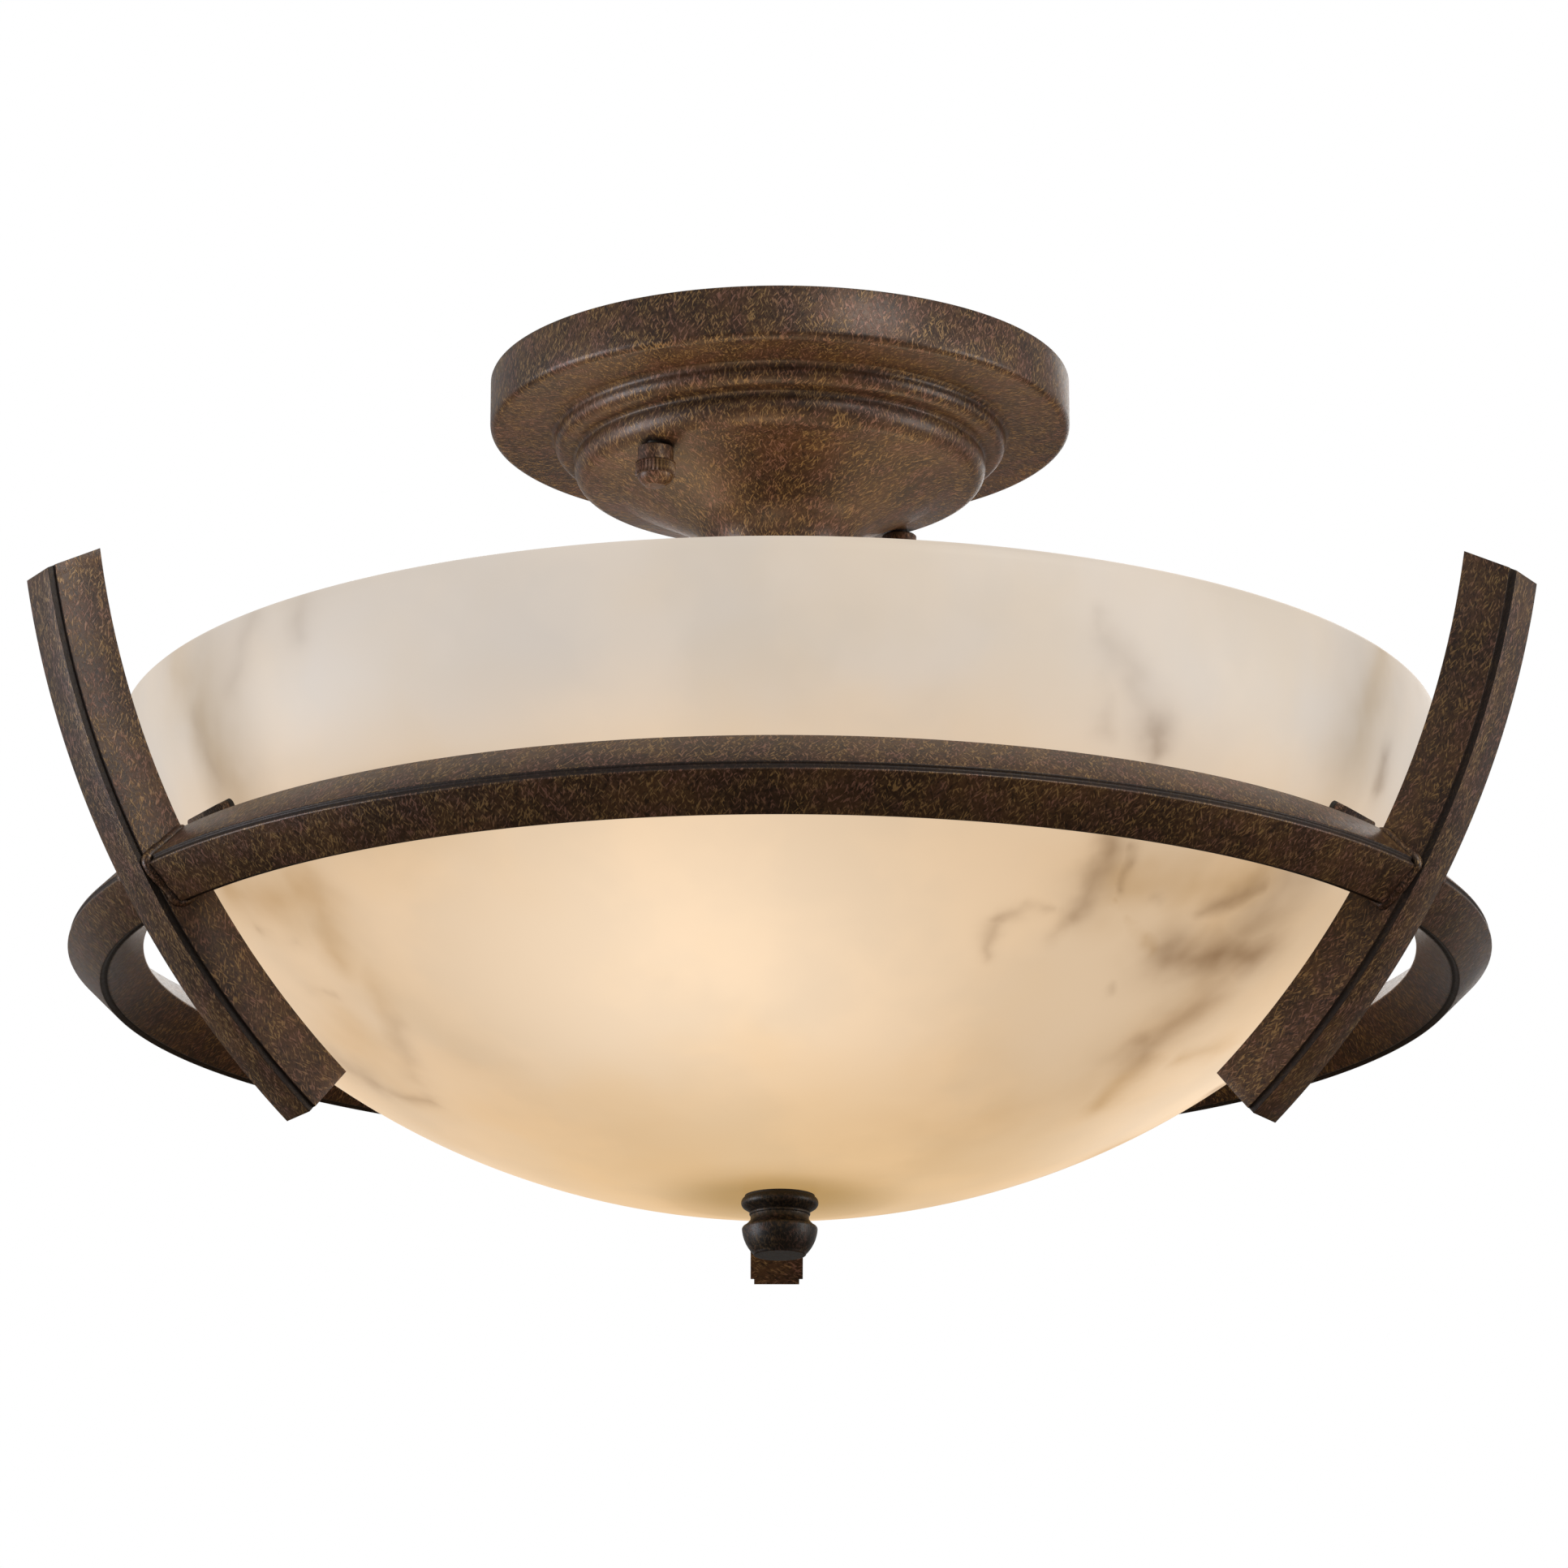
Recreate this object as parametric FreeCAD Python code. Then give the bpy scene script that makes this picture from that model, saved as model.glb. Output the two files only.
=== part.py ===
"""Semi flush ceiling light: canopy, stem, lamp cluster, glass bowl and welded cage.

Millimetres, +Z up.  The ceiling is the plane z = 0 and the fixture hangs below it on the Z axis.
The viewer stands on the -Y side, so headings are measured from -Y, positive towards +X.
"""
import FreeCAD, Part
import math
import os

V = FreeCAD.Vector

# ---------------------------------------------------------------- driving dimensions
SHEET = 1.2                     # spun steel wall of the canopy
CANOPY_RADIUS = 70.0
CANOPY_SIDE = 13.0              # upright side of the canopy
CANOPY_CORNER = 2.0
SCREW_CIRCLE_RADIUS = 44.45     # half of the 3 1/2 in outlet box spacing
SCREW_HEADING = -41.7
SEAT_OUTSIDE = 1.75             # nut seat, outside and inside the screw circle
SEAT_INSIDE = 4.95
SEAT_DROP = 1.0
INNER_BEAD_STEP = 3.0
INNER_BEAD_DROP = 8.0
OUTER_BEAD_STEP = 5.2
OUTER_BEAD_DROP = 5.2
CONE_DROP = 7.8
NECK_RADIUS = 16.0
FLARE_WIDTH = 8.0
FLARE_DROP = 11.0
NECK_LENGTH = 3.0
SCREW_HOLE_ROOM = 0.5           # round each canopy screw

SCREW_RADIUS = 2.085            # no. 8 machine screw
NUT_COLLAR_RADIUS = 4.25
NUT_COLLAR_LENGTH = 3.8
NUT_KNURL_RADIUS = 4.85
NUT_KNURL_DEPTH = 0.35
NUT_KNURL_LENGTH = 3.3
NUT_RIDGES = 26
NUT_TIP_RADIUS = 2.4
NUT_TIP_LENGTH = 2.5
NUT_BORE_DEPTH = 7.2
NUT_CHAMFER = 0.3
STUD_SHORT = 1.0                # stud's end above the bottom of the nut's bore
HEX_CORNER_BREAK = 0.06         # share of the flats

BAR_THICKNESS = 2.0
BAR_WIDTH = 16.0
BAR_END = 7.5                   # strap beyond the canopy screw
BOX_SCREW_CIRCLE = 69.85        # 2 3/4 in pattern to the outlet box
BOX_HOLE_RADIUS = 2.4
BAR_CENTRE_HOLE_RADIUS = 5.5
BAR_NUT_FLATS = 8.7
BAR_NUT_HEIGHT = 3.2
GROUND_SCREW_PLACE = 14.0
GROUND_SCREW_RADIUS = 1.9
GROUND_HEAD_RADIUS = 4.0
GROUND_HEAD_HEIGHT = 2.2
GROUND_SLOT = 1.0

NIPPLE_RADIUS = 5.0
NIPPLE_BORE_RADIUS = 3.4
NIPPLE_ABOVE_NUT = 4.0
STEM_NUT_FLATS = 15.9
STEM_NUT_HEIGHT = 5.0
LOCK_WASHER_RADIUS = 9.2
LOCK_WASHER_THICKNESS = 1.0
LOCK_TEETH = 12
LOCK_NOTCH_RADIUS = 0.9
COLLAR_RADIUS = 18.5
COLLAR_HEIGHT = 5.0
COLLAR_ROUND = 2.0
STEM_RADIUS = 9.5
STEM_LENGTH = 18.0
STEM_INTO_HUB = 6.0

HUB_RADIUS = 20.0
HUB_HEIGHT = 24.0
HUB_WALL = 4.5
HUB_CAVITY_RADIUS = 9.0
HUB_CORNER = 2.0
LAMP_ORIGIN_DEPTH = 5.7         # where the lamp axes meet, below the hub top
LAMP_TILT = 40.0                # lamp axes point this far below level
LAMP_HEADINGS = (-15.0, 105.0, 225.0)
HUB_FLAT_DISTANCE = 19.5        # lamp origin to the flat that a socket stands on

TUBE_RADIUS = 4.8
TUBE_WALL = 1.4
TUBE_INTO_HUB = 4.6
SOCKET_RADIUS = 17.0
SOCKET_LENGTH = 39.8
SOCKET_FLOOR = 11.8
SOCKET_BACK_ROUND = 3.0
SOCKET_LIP = 1.0
TUBE_SHORT = 2.5                # tube's end below the socket's floor
TAB_HOLE_RADIUS = 1.5           # for the contact's rivet
SHELL_WALL = 0.42
SHELL_START = 3.0               # screw shell above the socket floor
SHELL_LENGTH = 23.0
CONTACT_RADIUS = 4.0
CONTACT_THICKNESS = 1.0
CONTACT_HOLE_RADIUS = 1.0
BASE_RADIUS = 13.0              # medium screw base, 26 mm
BASE_LENGTH = 22.0
BASE_TIP_LENGTH = 4.5
BASE_TIP_RADIUS = 4.6
BASE_TIP_CHAMFER = 1.0
BASE_STEP = 1.5                 # insulator inside the thread's root
BASE_PLAIN_START = 1.0          # plain band before and after the thread
BASE_PLAIN_END = 3.0
BASE_CEMENT_DEPTH = 2.0
THREAD_DEPTH = 0.55
THREAD_TURNS = 5
BULB_NECK_RADIUS = 12.4
BULB_RADIUS = 23.8
BULB_CENTRE = 38.0              # from the end of the base to the middle of the round
BULB_WALL = 0.9
BULB_ROUND_START = -38.0        # degrees from level where the round part begins
BULB_WAIST = 0.2                # neck's straight share of the way to the middle
BULB_HOLLOW = 0.8               # how far the shoulder curves in

BOWL_WIDEST_Z = -92.0
BOWL_RIM_RADIUS = 156.2
BOWL_LIP = 1.7                  # rim above the widest circle
BOWL_SIDE_ARC = 80.0
BOWL_BELLY_ARC = 191.0
BOWL_WALL = 4.0
BOWL_FLAT_RADIUS = 26.0
BOWL_HOLE_RADIUS = 5.5

ROD_RADIUS = 3.175              # 1/4 in rod
ROD_NUT_FLATS = 11.1
ROD_NUT_HEIGHT = 4.0
ROD_IN_FINIAL = 7.0
SOFT_WASHER_THICKNESS = 1.5
SOFT_WASHER_RADIUS = 14.0
CUP_WASHER_THICKNESS = 1.0
CUP_WASHER_RADIUS = 16.0
LOWER_WASHER_THICKNESS = 0.5
LOWER_WASHER_RADIUS = 8.2

FINIAL_FLANGE_RADIUS = 9.05
FINIAL_WAIST_RADIUS = 6.85
FINIAL_BULGE_RADIUS = 8.85
FINIAL_END_RADIUS = 6.2
FINIAL_FLANGE_HEIGHT = 3.3
FINIAL_WAIST_HEIGHT = 2.3
FINIAL_SHOULDER_HEIGHT = 1.8
FINIAL_BODY_HEIGHT = 6.2
FINIAL_BODY_CROWN = 0.55        # bulge of the body's side
FINIAL_LIP = 0.45               # share of the flange that is its rounded edge
FINIAL_EDGE = 0.7               # flange edge drawn in
FINIAL_BEAD = 0.25              # fine bead above the waist
FINIAL_BEAD_HEIGHT = 0.9
FINIAL_FILLET = 0.4
FINIAL_BORE_SPARE = 1.0         # bore beyond the rod's end

BAR_SIDE = 13.2                 # half inch square bar of the cage
RABBET_WIDTH = 0.9
RABBET_DEPTH = 1.5
RING_DROP = 52.0                # ring below the bowl's widest circle
RING_GAP = 12.4                 # ring's inner corner to the glass
ARM_PROUD = 0.9                 # arm face outside the ring's outer corner
ARM_ARC = 201.8
ARM_LEAN = 30.3                 # slope of the arm where the ring meets it
ARM_UP = 19.7                   # degrees of arc above and below the ring
ARM_DOWN = 19.4
ARM_TOP_CUT = 27.3              # slope of the upper end
ARM_SPARE = 6.0                 # degrees of bar that the slanted cut takes off
ARM_COUNT = 3
ARM_FIRST_HEADING = 60.0

CLIP_SLOPE = 31.8               # where the clips touch the glass, below level
CLIP_HEIGHT = 16.2              # of the plate, along the glass
CLIP_WIDTH = 18.0
CLIP_CORNER = 1.5
PAD_THICKNESS = 1.0
PLATE_THICKNESS = 2.0
BOSS_RADIUS = 5.0
CLIP_SCREW_RADIUS = 2.0
CLIP_SCREW_GRIP = 6.5           # thread inside the boss
CLIP_HEAD_RADIUS = 4.5
CLIP_HEAD_HEIGHT = 2.4
CLIP_SLOT = 1.0
GROMMET_RADIUS = 6.5
GROMMET_FLANGE = 1.0
GLASS_HOLE_RADIUS = 3.6
SLEEVE_SHORT = 0.3              # grommet's sleeve inside the outer face of the glass
SCREW_TIP_ROOM = 0.5            # tapped hole beyond the screw's end

TURN_FIT = 0.06                 # radial room of a thread that turns
SEAT_GAP = 0.05                 # between faces that part when the bowl comes down
SOFT_GAP = 0.1

# ---------------------------------------------------------------- levels and places worked out
CEILING = 0.0
SIDE_Z = -CANOPY_SIDE
OUTER_BEAD_Z = SIDE_Z - OUTER_BEAD_DROP
INNER_BEAD_Z = OUTER_BEAD_Z - INNER_BEAD_DROP
SEAT_Z = INNER_BEAD_Z - SEAT_DROP
CONE_Z = SEAT_Z - CONE_DROP
FLARE_Z = CONE_Z - FLARE_DROP
NECK_Z = FLARE_Z - NECK_LENGTH
SEAT_OUTER_RADIUS = SCREW_CIRCLE_RADIUS + SEAT_OUTSIDE
SEAT_INNER_RADIUS = SCREW_CIRCLE_RADIUS - SEAT_INSIDE
INNER_BEAD_RADIUS = SEAT_OUTER_RADIUS + INNER_BEAD_STEP
OUTER_BEAD_RADIUS = INNER_BEAD_RADIUS + OUTER_BEAD_STEP
CONE_RADIUS = NECK_RADIUS + FLARE_WIDTH

NUT_TOP_Z = SEAT_Z - SEAT_GAP
NUT_END_Z = NUT_TOP_Z - NUT_COLLAR_LENGTH - NUT_KNURL_LENGTH - NUT_TIP_LENGTH

NECK_FLOOR_Z = NECK_Z + SHEET
COLLAR_Z = NECK_Z - COLLAR_HEIGHT
HUB_TOP_Z = COLLAR_Z - STEM_LENGTH
HUB_END_Z = HUB_TOP_Z - HUB_HEIGHT
LAMP_ORIGIN_Z = HUB_TOP_Z - LAMP_ORIGIN_DEPTH

SOCKET_START = HUB_FLAT_DISTANCE
SOCKET_END = SOCKET_START + SOCKET_LENGTH
SOCKET_FLOOR_AT = SOCKET_START + SOCKET_FLOOR
SHELL_RADIUS = BASE_RADIUS + TURN_FIT + SHELL_WALL
SOCKET_BORE_RADIUS = SHELL_RADIUS + TURN_FIT
CONTACT_END = SOCKET_FLOOR_AT + CONTACT_THICKNESS
BASE_END = CONTACT_END + SOFT_GAP + BASE_TIP_LENGTH + BASE_LENGTH

SIDE_CENTRE_RADIUS = BOWL_RIM_RADIUS - BOWL_SIDE_ARC
ARC_STEP = BOWL_BELLY_ARC - BOWL_SIDE_ARC
BELLY_CENTRE_Z = BOWL_WIDEST_Z + math.sqrt(ARC_STEP ** 2 - SIDE_CENTRE_RADIUS ** 2)
BOWL_FLAT_Z = BELLY_CENTRE_Z - math.sqrt(BOWL_BELLY_ARC ** 2 - BOWL_FLAT_RADIUS ** 2)
BOWL_FLOOR_Z = BOWL_FLAT_Z + BOWL_WALL

SOFT_WASHER_Z = BOWL_FLOOR_Z + SOFT_WASHER_THICKNESS
CUP_WASHER_Z = SOFT_WASHER_Z + CUP_WASHER_THICKNESS
STOP_NUT_Z = CUP_WASHER_Z + SEAT_GAP
FINIAL_TOP_Z = BOWL_FLAT_Z - LOWER_WASHER_THICKNESS - SEAT_GAP
ROD_END_Z = FINIAL_TOP_Z - ROD_IN_FINIAL

RING_Z = BOWL_WIDEST_Z - RING_DROP
RING_HALF = BAR_SIDE / math.sqrt(2.0)


def glass_radius(level):
    """Outer radius of the bowl at a height between its flat and its widest circle."""
    meet = SIDE_CENTRE_RADIUS / ARC_STEP
    meet_z = BELLY_CENTRE_Z - BOWL_BELLY_ARC * math.sqrt(1.0 - meet ** 2)
    if level > meet_z:
        return SIDE_CENTRE_RADIUS + math.sqrt(BOWL_SIDE_ARC ** 2 - (level - BOWL_WIDEST_Z) ** 2)
    return math.sqrt(BOWL_BELLY_ARC ** 2 - (level - BELLY_CENTRE_Z) ** 2)


def clip_seat():
    """Centre, in radius and height, and radius of the glass's arc where the clips sit."""
    side_end = 90.0 - math.degrees(math.asin(SIDE_CENTRE_RADIUS / ARC_STEP))
    if CLIP_SLOPE < side_end:
        return SIDE_CENTRE_RADIUS, BOWL_WIDEST_Z, BOWL_SIDE_ARC
    return 0.0, BELLY_CENTRE_Z, BOWL_BELLY_ARC


RING_RADIUS = glass_radius(RING_Z) + RING_GAP + 2.0 * RING_HALF
ARM_CENTRE_X = RING_RADIUS + ARM_PROUD - ARM_ARC * math.cos(math.radians(ARM_LEAN))
ARM_CENTRE_Z = RING_Z + ARM_ARC * math.sin(math.radians(ARM_LEAN))
ARM_INNER_ARC = ARM_ARC - BAR_SIDE
ARM_HEADINGS = tuple(ARM_FIRST_HEADING + turn * 360.0 / ARM_COUNT for turn in range(ARM_COUNT))

CLIP_CENTRE_RADIUS, CLIP_CENTRE_Z, GLASS_AT_CLIP = clip_seat()
PAD_START = SOFT_GAP                        # these four are distances outside the glass
PAD_END = PAD_START + PAD_THICKNESS
PLATE_START = PAD_END + SOFT_GAP
PLATE_END = PLATE_START + PLATE_THICKNESS
GROMMET_SEAT = math.sqrt((GLASS_AT_CLIP - BOWL_WALL) ** 2 - GROMMET_RADIUS ** 2) - SOFT_GAP
CLIP_HOLE_END = GLASS_AT_CLIP + PLATE_END + CLIP_SCREW_GRIP


# ---------------------------------------------------------------- helpers
def along(heading):
    """Unit vector of a heading, which is measured from -Y towards +X."""
    angle = math.radians(heading)
    return V(math.sin(angle), -math.cos(angle), 0)


def spin(shape, heading):
    """Turn a shape that was built along +X to a heading."""
    turned_shape = shape.copy()
    turned_shape.rotate(V(0, 0, 0), V(0, 0, 1), heading - 90.0)
    return turned_shape


def outline(points):
    """Closed face in the XZ plane; an item with two points is an arc by way of the first."""
    edges = []
    here = points[0]
    for item in points[1:] + [points[0]]:
        if isinstance(item[0], tuple):
            middle, there = item
            arc = Part.Arc(V(here[0], 0, here[1]), V(middle[0], 0, middle[1]), V(there[0], 0, there[1]))
            edges.append(arc.toShape())
        else:
            there = item
            if math.dist(here, there) > 1e-6:
                edges.append(Part.makeLine(V(here[0], 0, here[1]), V(there[0], 0, there[1])))
        here = there
    return Part.Face(Part.Wire(edges))


def turned(points, angle=360.0):
    """Solid of revolution about Z from an outline in radius and height."""
    return outline(points).revolve(V(0, 0, 0), V(0, 0, 1), angle)


def ring_of(outer, inner, top, bottom):
    """Plain washer or tube on the Z axis."""
    return turned([(inner, bottom), (outer, bottom), (outer, top), (inner, top)])


def hexagon(flats, top, bottom, bore):
    """Hex nut on the Z axis with its corners broken."""
    corner = flats / math.sqrt(3.0)
    ring = [V(corner * math.cos(math.radians(60 * k)), corner * math.sin(math.radians(60 * k)), bottom)
            for k in range(7)]
    body = Part.Face(Part.makePolygon(ring)).extrude(V(0, 0, top - bottom))
    broken = HEX_CORNER_BREAK * flats
    blank = turned([(0, bottom), (corner - broken, bottom), (corner, bottom + broken),
                    (corner, top - broken), (corner - broken, top), (0, top)])
    hole = Part.makeCylinder(bore, top - bottom, V(0, 0, bottom))
    return body.common(blank).cut(hole)


def on_lamp_axis(shape, heading):
    """Lay a shape, built from the origin up +Z, along one lamp axis."""
    laid = shape.copy()
    laid.rotate(V(0, 0, 0), V(0, 1, 0), 90.0 + LAMP_TILT)
    laid.rotate(V(0, 0, 0), V(0, 0, 1), heading - 90.0)
    laid.translate(V(0, 0, LAMP_ORIGIN_Z))
    return laid


def on_clip_axis(shape, heading):
    """Lay a shape, built up +Z from the centre of the glass's arc, along one clip's screw axis."""
    laid = shape.copy()
    laid.rotate(V(0, 0, 0), V(0, 1, 0), 90.0 + CLIP_SLOPE)
    laid.translate(V(CLIP_CENTRE_RADIUS, 0, CLIP_CENTRE_Z))
    return spin(laid, heading)


def arc_point(centre, radius, degrees):
    """Point of an arc in the XZ plane; degrees are counted down from level."""
    angle = math.radians(degrees)
    return (centre[0] + radius * math.cos(angle), centre[1] - radius * math.sin(angle))


def bar_section():
    """Square bar across and outwards from its inner face, with a rabbet beside the outer face."""
    half = BAR_SIDE / 2.0
    step = BAR_SIDE - RABBET_DEPTH
    cap = half - RABBET_WIDTH
    return [(-half, 0), (half, 0), (half, step), (cap, step), (cap, BAR_SIDE),
            (-cap, BAR_SIDE), (-cap, step), (-half, step)]


# ---------------------------------------------------------------- ceiling end
def canopy_skin(shift):
    """Canopy profile from rim to neck, moved inwards and upwards by the wall for the inside."""
    corner = CANOPY_CORNER
    slant = corner * math.sqrt(0.5)
    cove = 0.3 * OUTER_BEAD_DROP
    groove = 0.15 * INNER_BEAD_DROP
    edge = OUTER_BEAD_RADIUS
    bead = INNER_BEAD_RADIUS
    seat = SEAT_OUTER_RADIUS
    turn_in = CONE_RADIUS - NECK_RADIUS
    points = [
        (CANOPY_RADIUS, SIDE_Z + corner),
        ((CANOPY_RADIUS - corner + slant, SIDE_Z + corner - slant), (CANOPY_RADIUS - corner, SIDE_Z)),
        (edge + cove, SIDE_Z),
        ((edge + 0.35 * cove, SIDE_Z - 0.25 * cove), (edge, SIDE_Z - cove)),
        ((edge - 0.25, OUTER_BEAD_Z + 0.3 * OUTER_BEAD_DROP), (edge - 0.5 * OUTER_BEAD_STEP, OUTER_BEAD_Z)),
        (bead + groove, OUTER_BEAD_Z - 0.05 * OUTER_BEAD_DROP),
        ((bead + 0.35 * groove, OUTER_BEAD_Z - 0.4 * groove), (bead, OUTER_BEAD_Z - groove)),
        ((bead - 0.25, INNER_BEAD_Z + 0.28 * INNER_BEAD_DROP), (seat, INNER_BEAD_Z)),
        (SEAT_INNER_RADIUS, SEAT_Z),
        (CONE_RADIUS, CONE_Z),
        ((NECK_RADIUS + 0.2 * turn_in, CONE_Z - 0.52 * FLARE_DROP), (NECK_RADIUS, FLARE_Z)),
    ]

    def moved(point):
        return (point[0] - shift, point[1] + shift)

    return [(moved(item[0]), moved(item[1])) if isinstance(item[0], tuple) else moved(item)
            for item in points]


def backwards(points):
    """The same open profile walked from its other end."""
    ends = [item[1] if isinstance(item[0], tuple) else item for item in points]
    walked = [ends[-1]]
    for index in range(len(points) - 1, 0, -1):
        item = points[index]
        walked.append((item[0], ends[index - 1]) if isinstance(item[0], tuple) else ends[index - 1])
    return walked


def screw_places():
    """The two canopy screws, opposite each other on the screw circle."""
    return [along(SCREW_HEADING) * SCREW_CIRCLE_RADIUS, along(SCREW_HEADING + 180) * SCREW_CIRCLE_RADIUS]


def canopy():
    """Spun steel pan with two beads and a flared neck."""
    hole = NIPPLE_RADIUS + TURN_FIT
    points = [(CANOPY_RADIUS, CEILING)] + canopy_skin(0.0)
    points += [(NECK_RADIUS, NECK_Z), (hole, NECK_Z), (hole, NECK_FLOOR_Z)]
    points += [(NECK_RADIUS - SHEET, NECK_FLOOR_Z)] + backwards(canopy_skin(SHEET))
    points += [(CANOPY_RADIUS - SHEET, CEILING)]
    pan = turned(points)
    start = SEAT_Z - 2 * SHEET
    drill = Part.makeCylinder(SCREW_RADIUS + SCREW_HOLE_ROOM, CEILING - start, V(0, 0, start))
    for place in screw_places():
        pan = pan.cut(drill.translated(place))
    return pan


def mounting_bar():
    """Steel strap across the outlet box, which carries the canopy screws."""
    reach = SCREW_CIRCLE_RADIUS + BAR_END
    half = BAR_WIDTH / 2.0
    straight = reach - half
    base = -BAR_THICKNESS
    strap = Part.makeBox(2 * straight, BAR_WIDTH, BAR_THICKNESS, V(-straight, -half, base))
    for side in (-1, 1):
        strap = strap.fuse(Part.makeCylinder(half, BAR_THICKNESS, V(side * straight, 0, base)))
    strap = strap.removeSplitter()
    holes = [(0.0, BAR_CENTRE_HOLE_RADIUS), (GROUND_SCREW_PLACE, GROUND_SCREW_RADIUS + TURN_FIT)]
    for side in (-1, 1):
        holes.append((side * SCREW_CIRCLE_RADIUS, SCREW_RADIUS + TURN_FIT))
        holes.append((side * BOX_SCREW_CIRCLE / 2.0, BOX_HOLE_RADIUS))
    for place, radius in holes:
        strap = strap.cut(Part.makeCylinder(radius, BAR_THICKNESS, V(place, 0, base)))
    return spin(strap, SCREW_HEADING)


def canopy_screws():
    """Two threaded studs that hang from the bar."""
    end = NUT_TOP_Z - NUT_BORE_DEPTH + STUD_SHORT
    stud = Part.makeCylinder(SCREW_RADIUS, CEILING - end, V(0, 0, end))
    return [stud.translated(place) for place in screw_places()]


def bar_nuts():
    """Lock nuts that hold the studs under the bar."""
    top = CEILING - BAR_THICKNESS
    nut = hexagon(BAR_NUT_FLATS, top, top - BAR_NUT_HEIGHT, SCREW_RADIUS + TURN_FIT)
    return [nut.translated(place) for place in screw_places()]


def ground_screw():
    """Slotted grounding screw in the bar."""
    under = -BAR_THICKNESS
    low = under - GROUND_HEAD_HEIGHT
    screw = turned([(0, CEILING), (0, low), (0.8 * GROUND_HEAD_RADIUS, low),
                    (GROUND_HEAD_RADIUS, low + 0.3 * GROUND_HEAD_HEIGHT), (GROUND_HEAD_RADIUS, under),
                    (GROUND_SCREW_RADIUS, under), (GROUND_SCREW_RADIUS, CEILING)])
    deep = 0.45 * GROUND_HEAD_HEIGHT
    corner = V(-GROUND_HEAD_RADIUS, -GROUND_SLOT / 2, low)
    slot = Part.makeBox(2 * GROUND_HEAD_RADIUS, GROUND_SLOT, deep, corner)
    screw = screw.cut(slot)
    screw.translate(V(GROUND_SCREW_PLACE, 0, 0))
    return spin(screw, SCREW_HEADING)


def canopy_nut(place):
    """Knurled cap nut: plain collar, ridged band, chamfered tip and a blind bore."""
    knurl_top = NUT_TOP_Z - NUT_COLLAR_LENGTH
    knurl_end = knurl_top - NUT_KNURL_LENGTH
    root = NUT_KNURL_RADIUS - NUT_KNURL_DEPTH
    rim = []
    for step in range(2 * NUT_RIDGES + 1):
        radius = NUT_KNURL_RADIUS if step % 2 == 0 else root
        angle = math.pi * step / NUT_RIDGES
        rim.append(V(radius * math.cos(angle), radius * math.sin(angle), knurl_end))
    band = Part.Face(Part.makePolygon(rim)).extrude(V(0, 0, NUT_KNURL_LENGTH))
    shoulder = 0.3 * (root - NUT_TIP_RADIUS)
    body = turned([(0, NUT_END_Z), (NUT_TIP_RADIUS, NUT_END_Z),
                   ((root - shoulder, NUT_END_Z + 0.55 * NUT_TIP_LENGTH), (root, knurl_end)),
                   (root, knurl_top), (NUT_COLLAR_RADIUS, knurl_top),
                   (NUT_COLLAR_RADIUS, NUT_TOP_Z - NUT_CHAMFER),
                   (NUT_COLLAR_RADIUS - NUT_CHAMFER, NUT_TOP_Z), (0, NUT_TOP_Z)])
    nut = body.fuse(band)
    bore = Part.makeCylinder(SCREW_RADIUS + TURN_FIT, NUT_BORE_DEPTH, V(0, 0, NUT_TOP_Z - NUT_BORE_DEPTH))
    nut = nut.cut(bore)
    nut.translate(place)
    return nut


# ---------------------------------------------------------------- stem and lamp cluster
def stem_nut():
    """Hex nut that clamps the stem inside the canopy's neck."""
    base = NECK_FLOOR_Z + LOCK_WASHER_THICKNESS
    return hexagon(STEM_NUT_FLATS, base + STEM_NUT_HEIGHT, base, NIPPLE_RADIUS + TURN_FIT)


def stem_lock_washer():
    """Toothed washer under the stem nut."""
    washer = ring_of(LOCK_WASHER_RADIUS, NIPPLE_RADIUS + TURN_FIT, NECK_FLOOR_Z + LOCK_WASHER_THICKNESS,
                     NECK_FLOOR_Z)
    for tooth in range(LOCK_TEETH):
        angle = 2 * math.pi * tooth / LOCK_TEETH
        place = V(LOCK_WASHER_RADIUS * math.cos(angle), LOCK_WASHER_RADIUS * math.sin(angle), NECK_FLOOR_Z)
        washer = washer.cut(Part.makeCylinder(LOCK_NOTCH_RADIUS, LOCK_WASHER_THICKNESS, place))
    return washer


def neck_collar():
    """Turned collar that closes the neck below."""
    hole = NIPPLE_RADIUS + TURN_FIT
    rounded = COLLAR_ROUND * (1 - math.sqrt(0.5))
    return turned([(hole, NECK_Z), (COLLAR_RADIUS, NECK_Z), (COLLAR_RADIUS, COLLAR_Z + COLLAR_ROUND),
                   ((COLLAR_RADIUS - rounded, COLLAR_Z + rounded), (COLLAR_RADIUS - COLLAR_ROUND, COLLAR_Z)),
                   (hole, COLLAR_Z)])


def stem():
    """Tube with a threaded nipple at each end; the wires run through it."""
    top = NECK_FLOOR_Z + LOCK_WASHER_THICKNESS + STEM_NUT_HEIGHT + NIPPLE_ABOVE_NUT
    end = HUB_TOP_Z - STEM_INTO_HUB
    return turned([(NIPPLE_BORE_RADIUS, top), (NIPPLE_RADIUS, top), (NIPPLE_RADIUS, COLLAR_Z),
                   (STEM_RADIUS, COLLAR_Z), (STEM_RADIUS, HUB_TOP_Z), (NIPPLE_RADIUS, HUB_TOP_Z),
                   (NIPPLE_RADIUS, end), (NIPPLE_BORE_RADIUS, end)])


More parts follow.
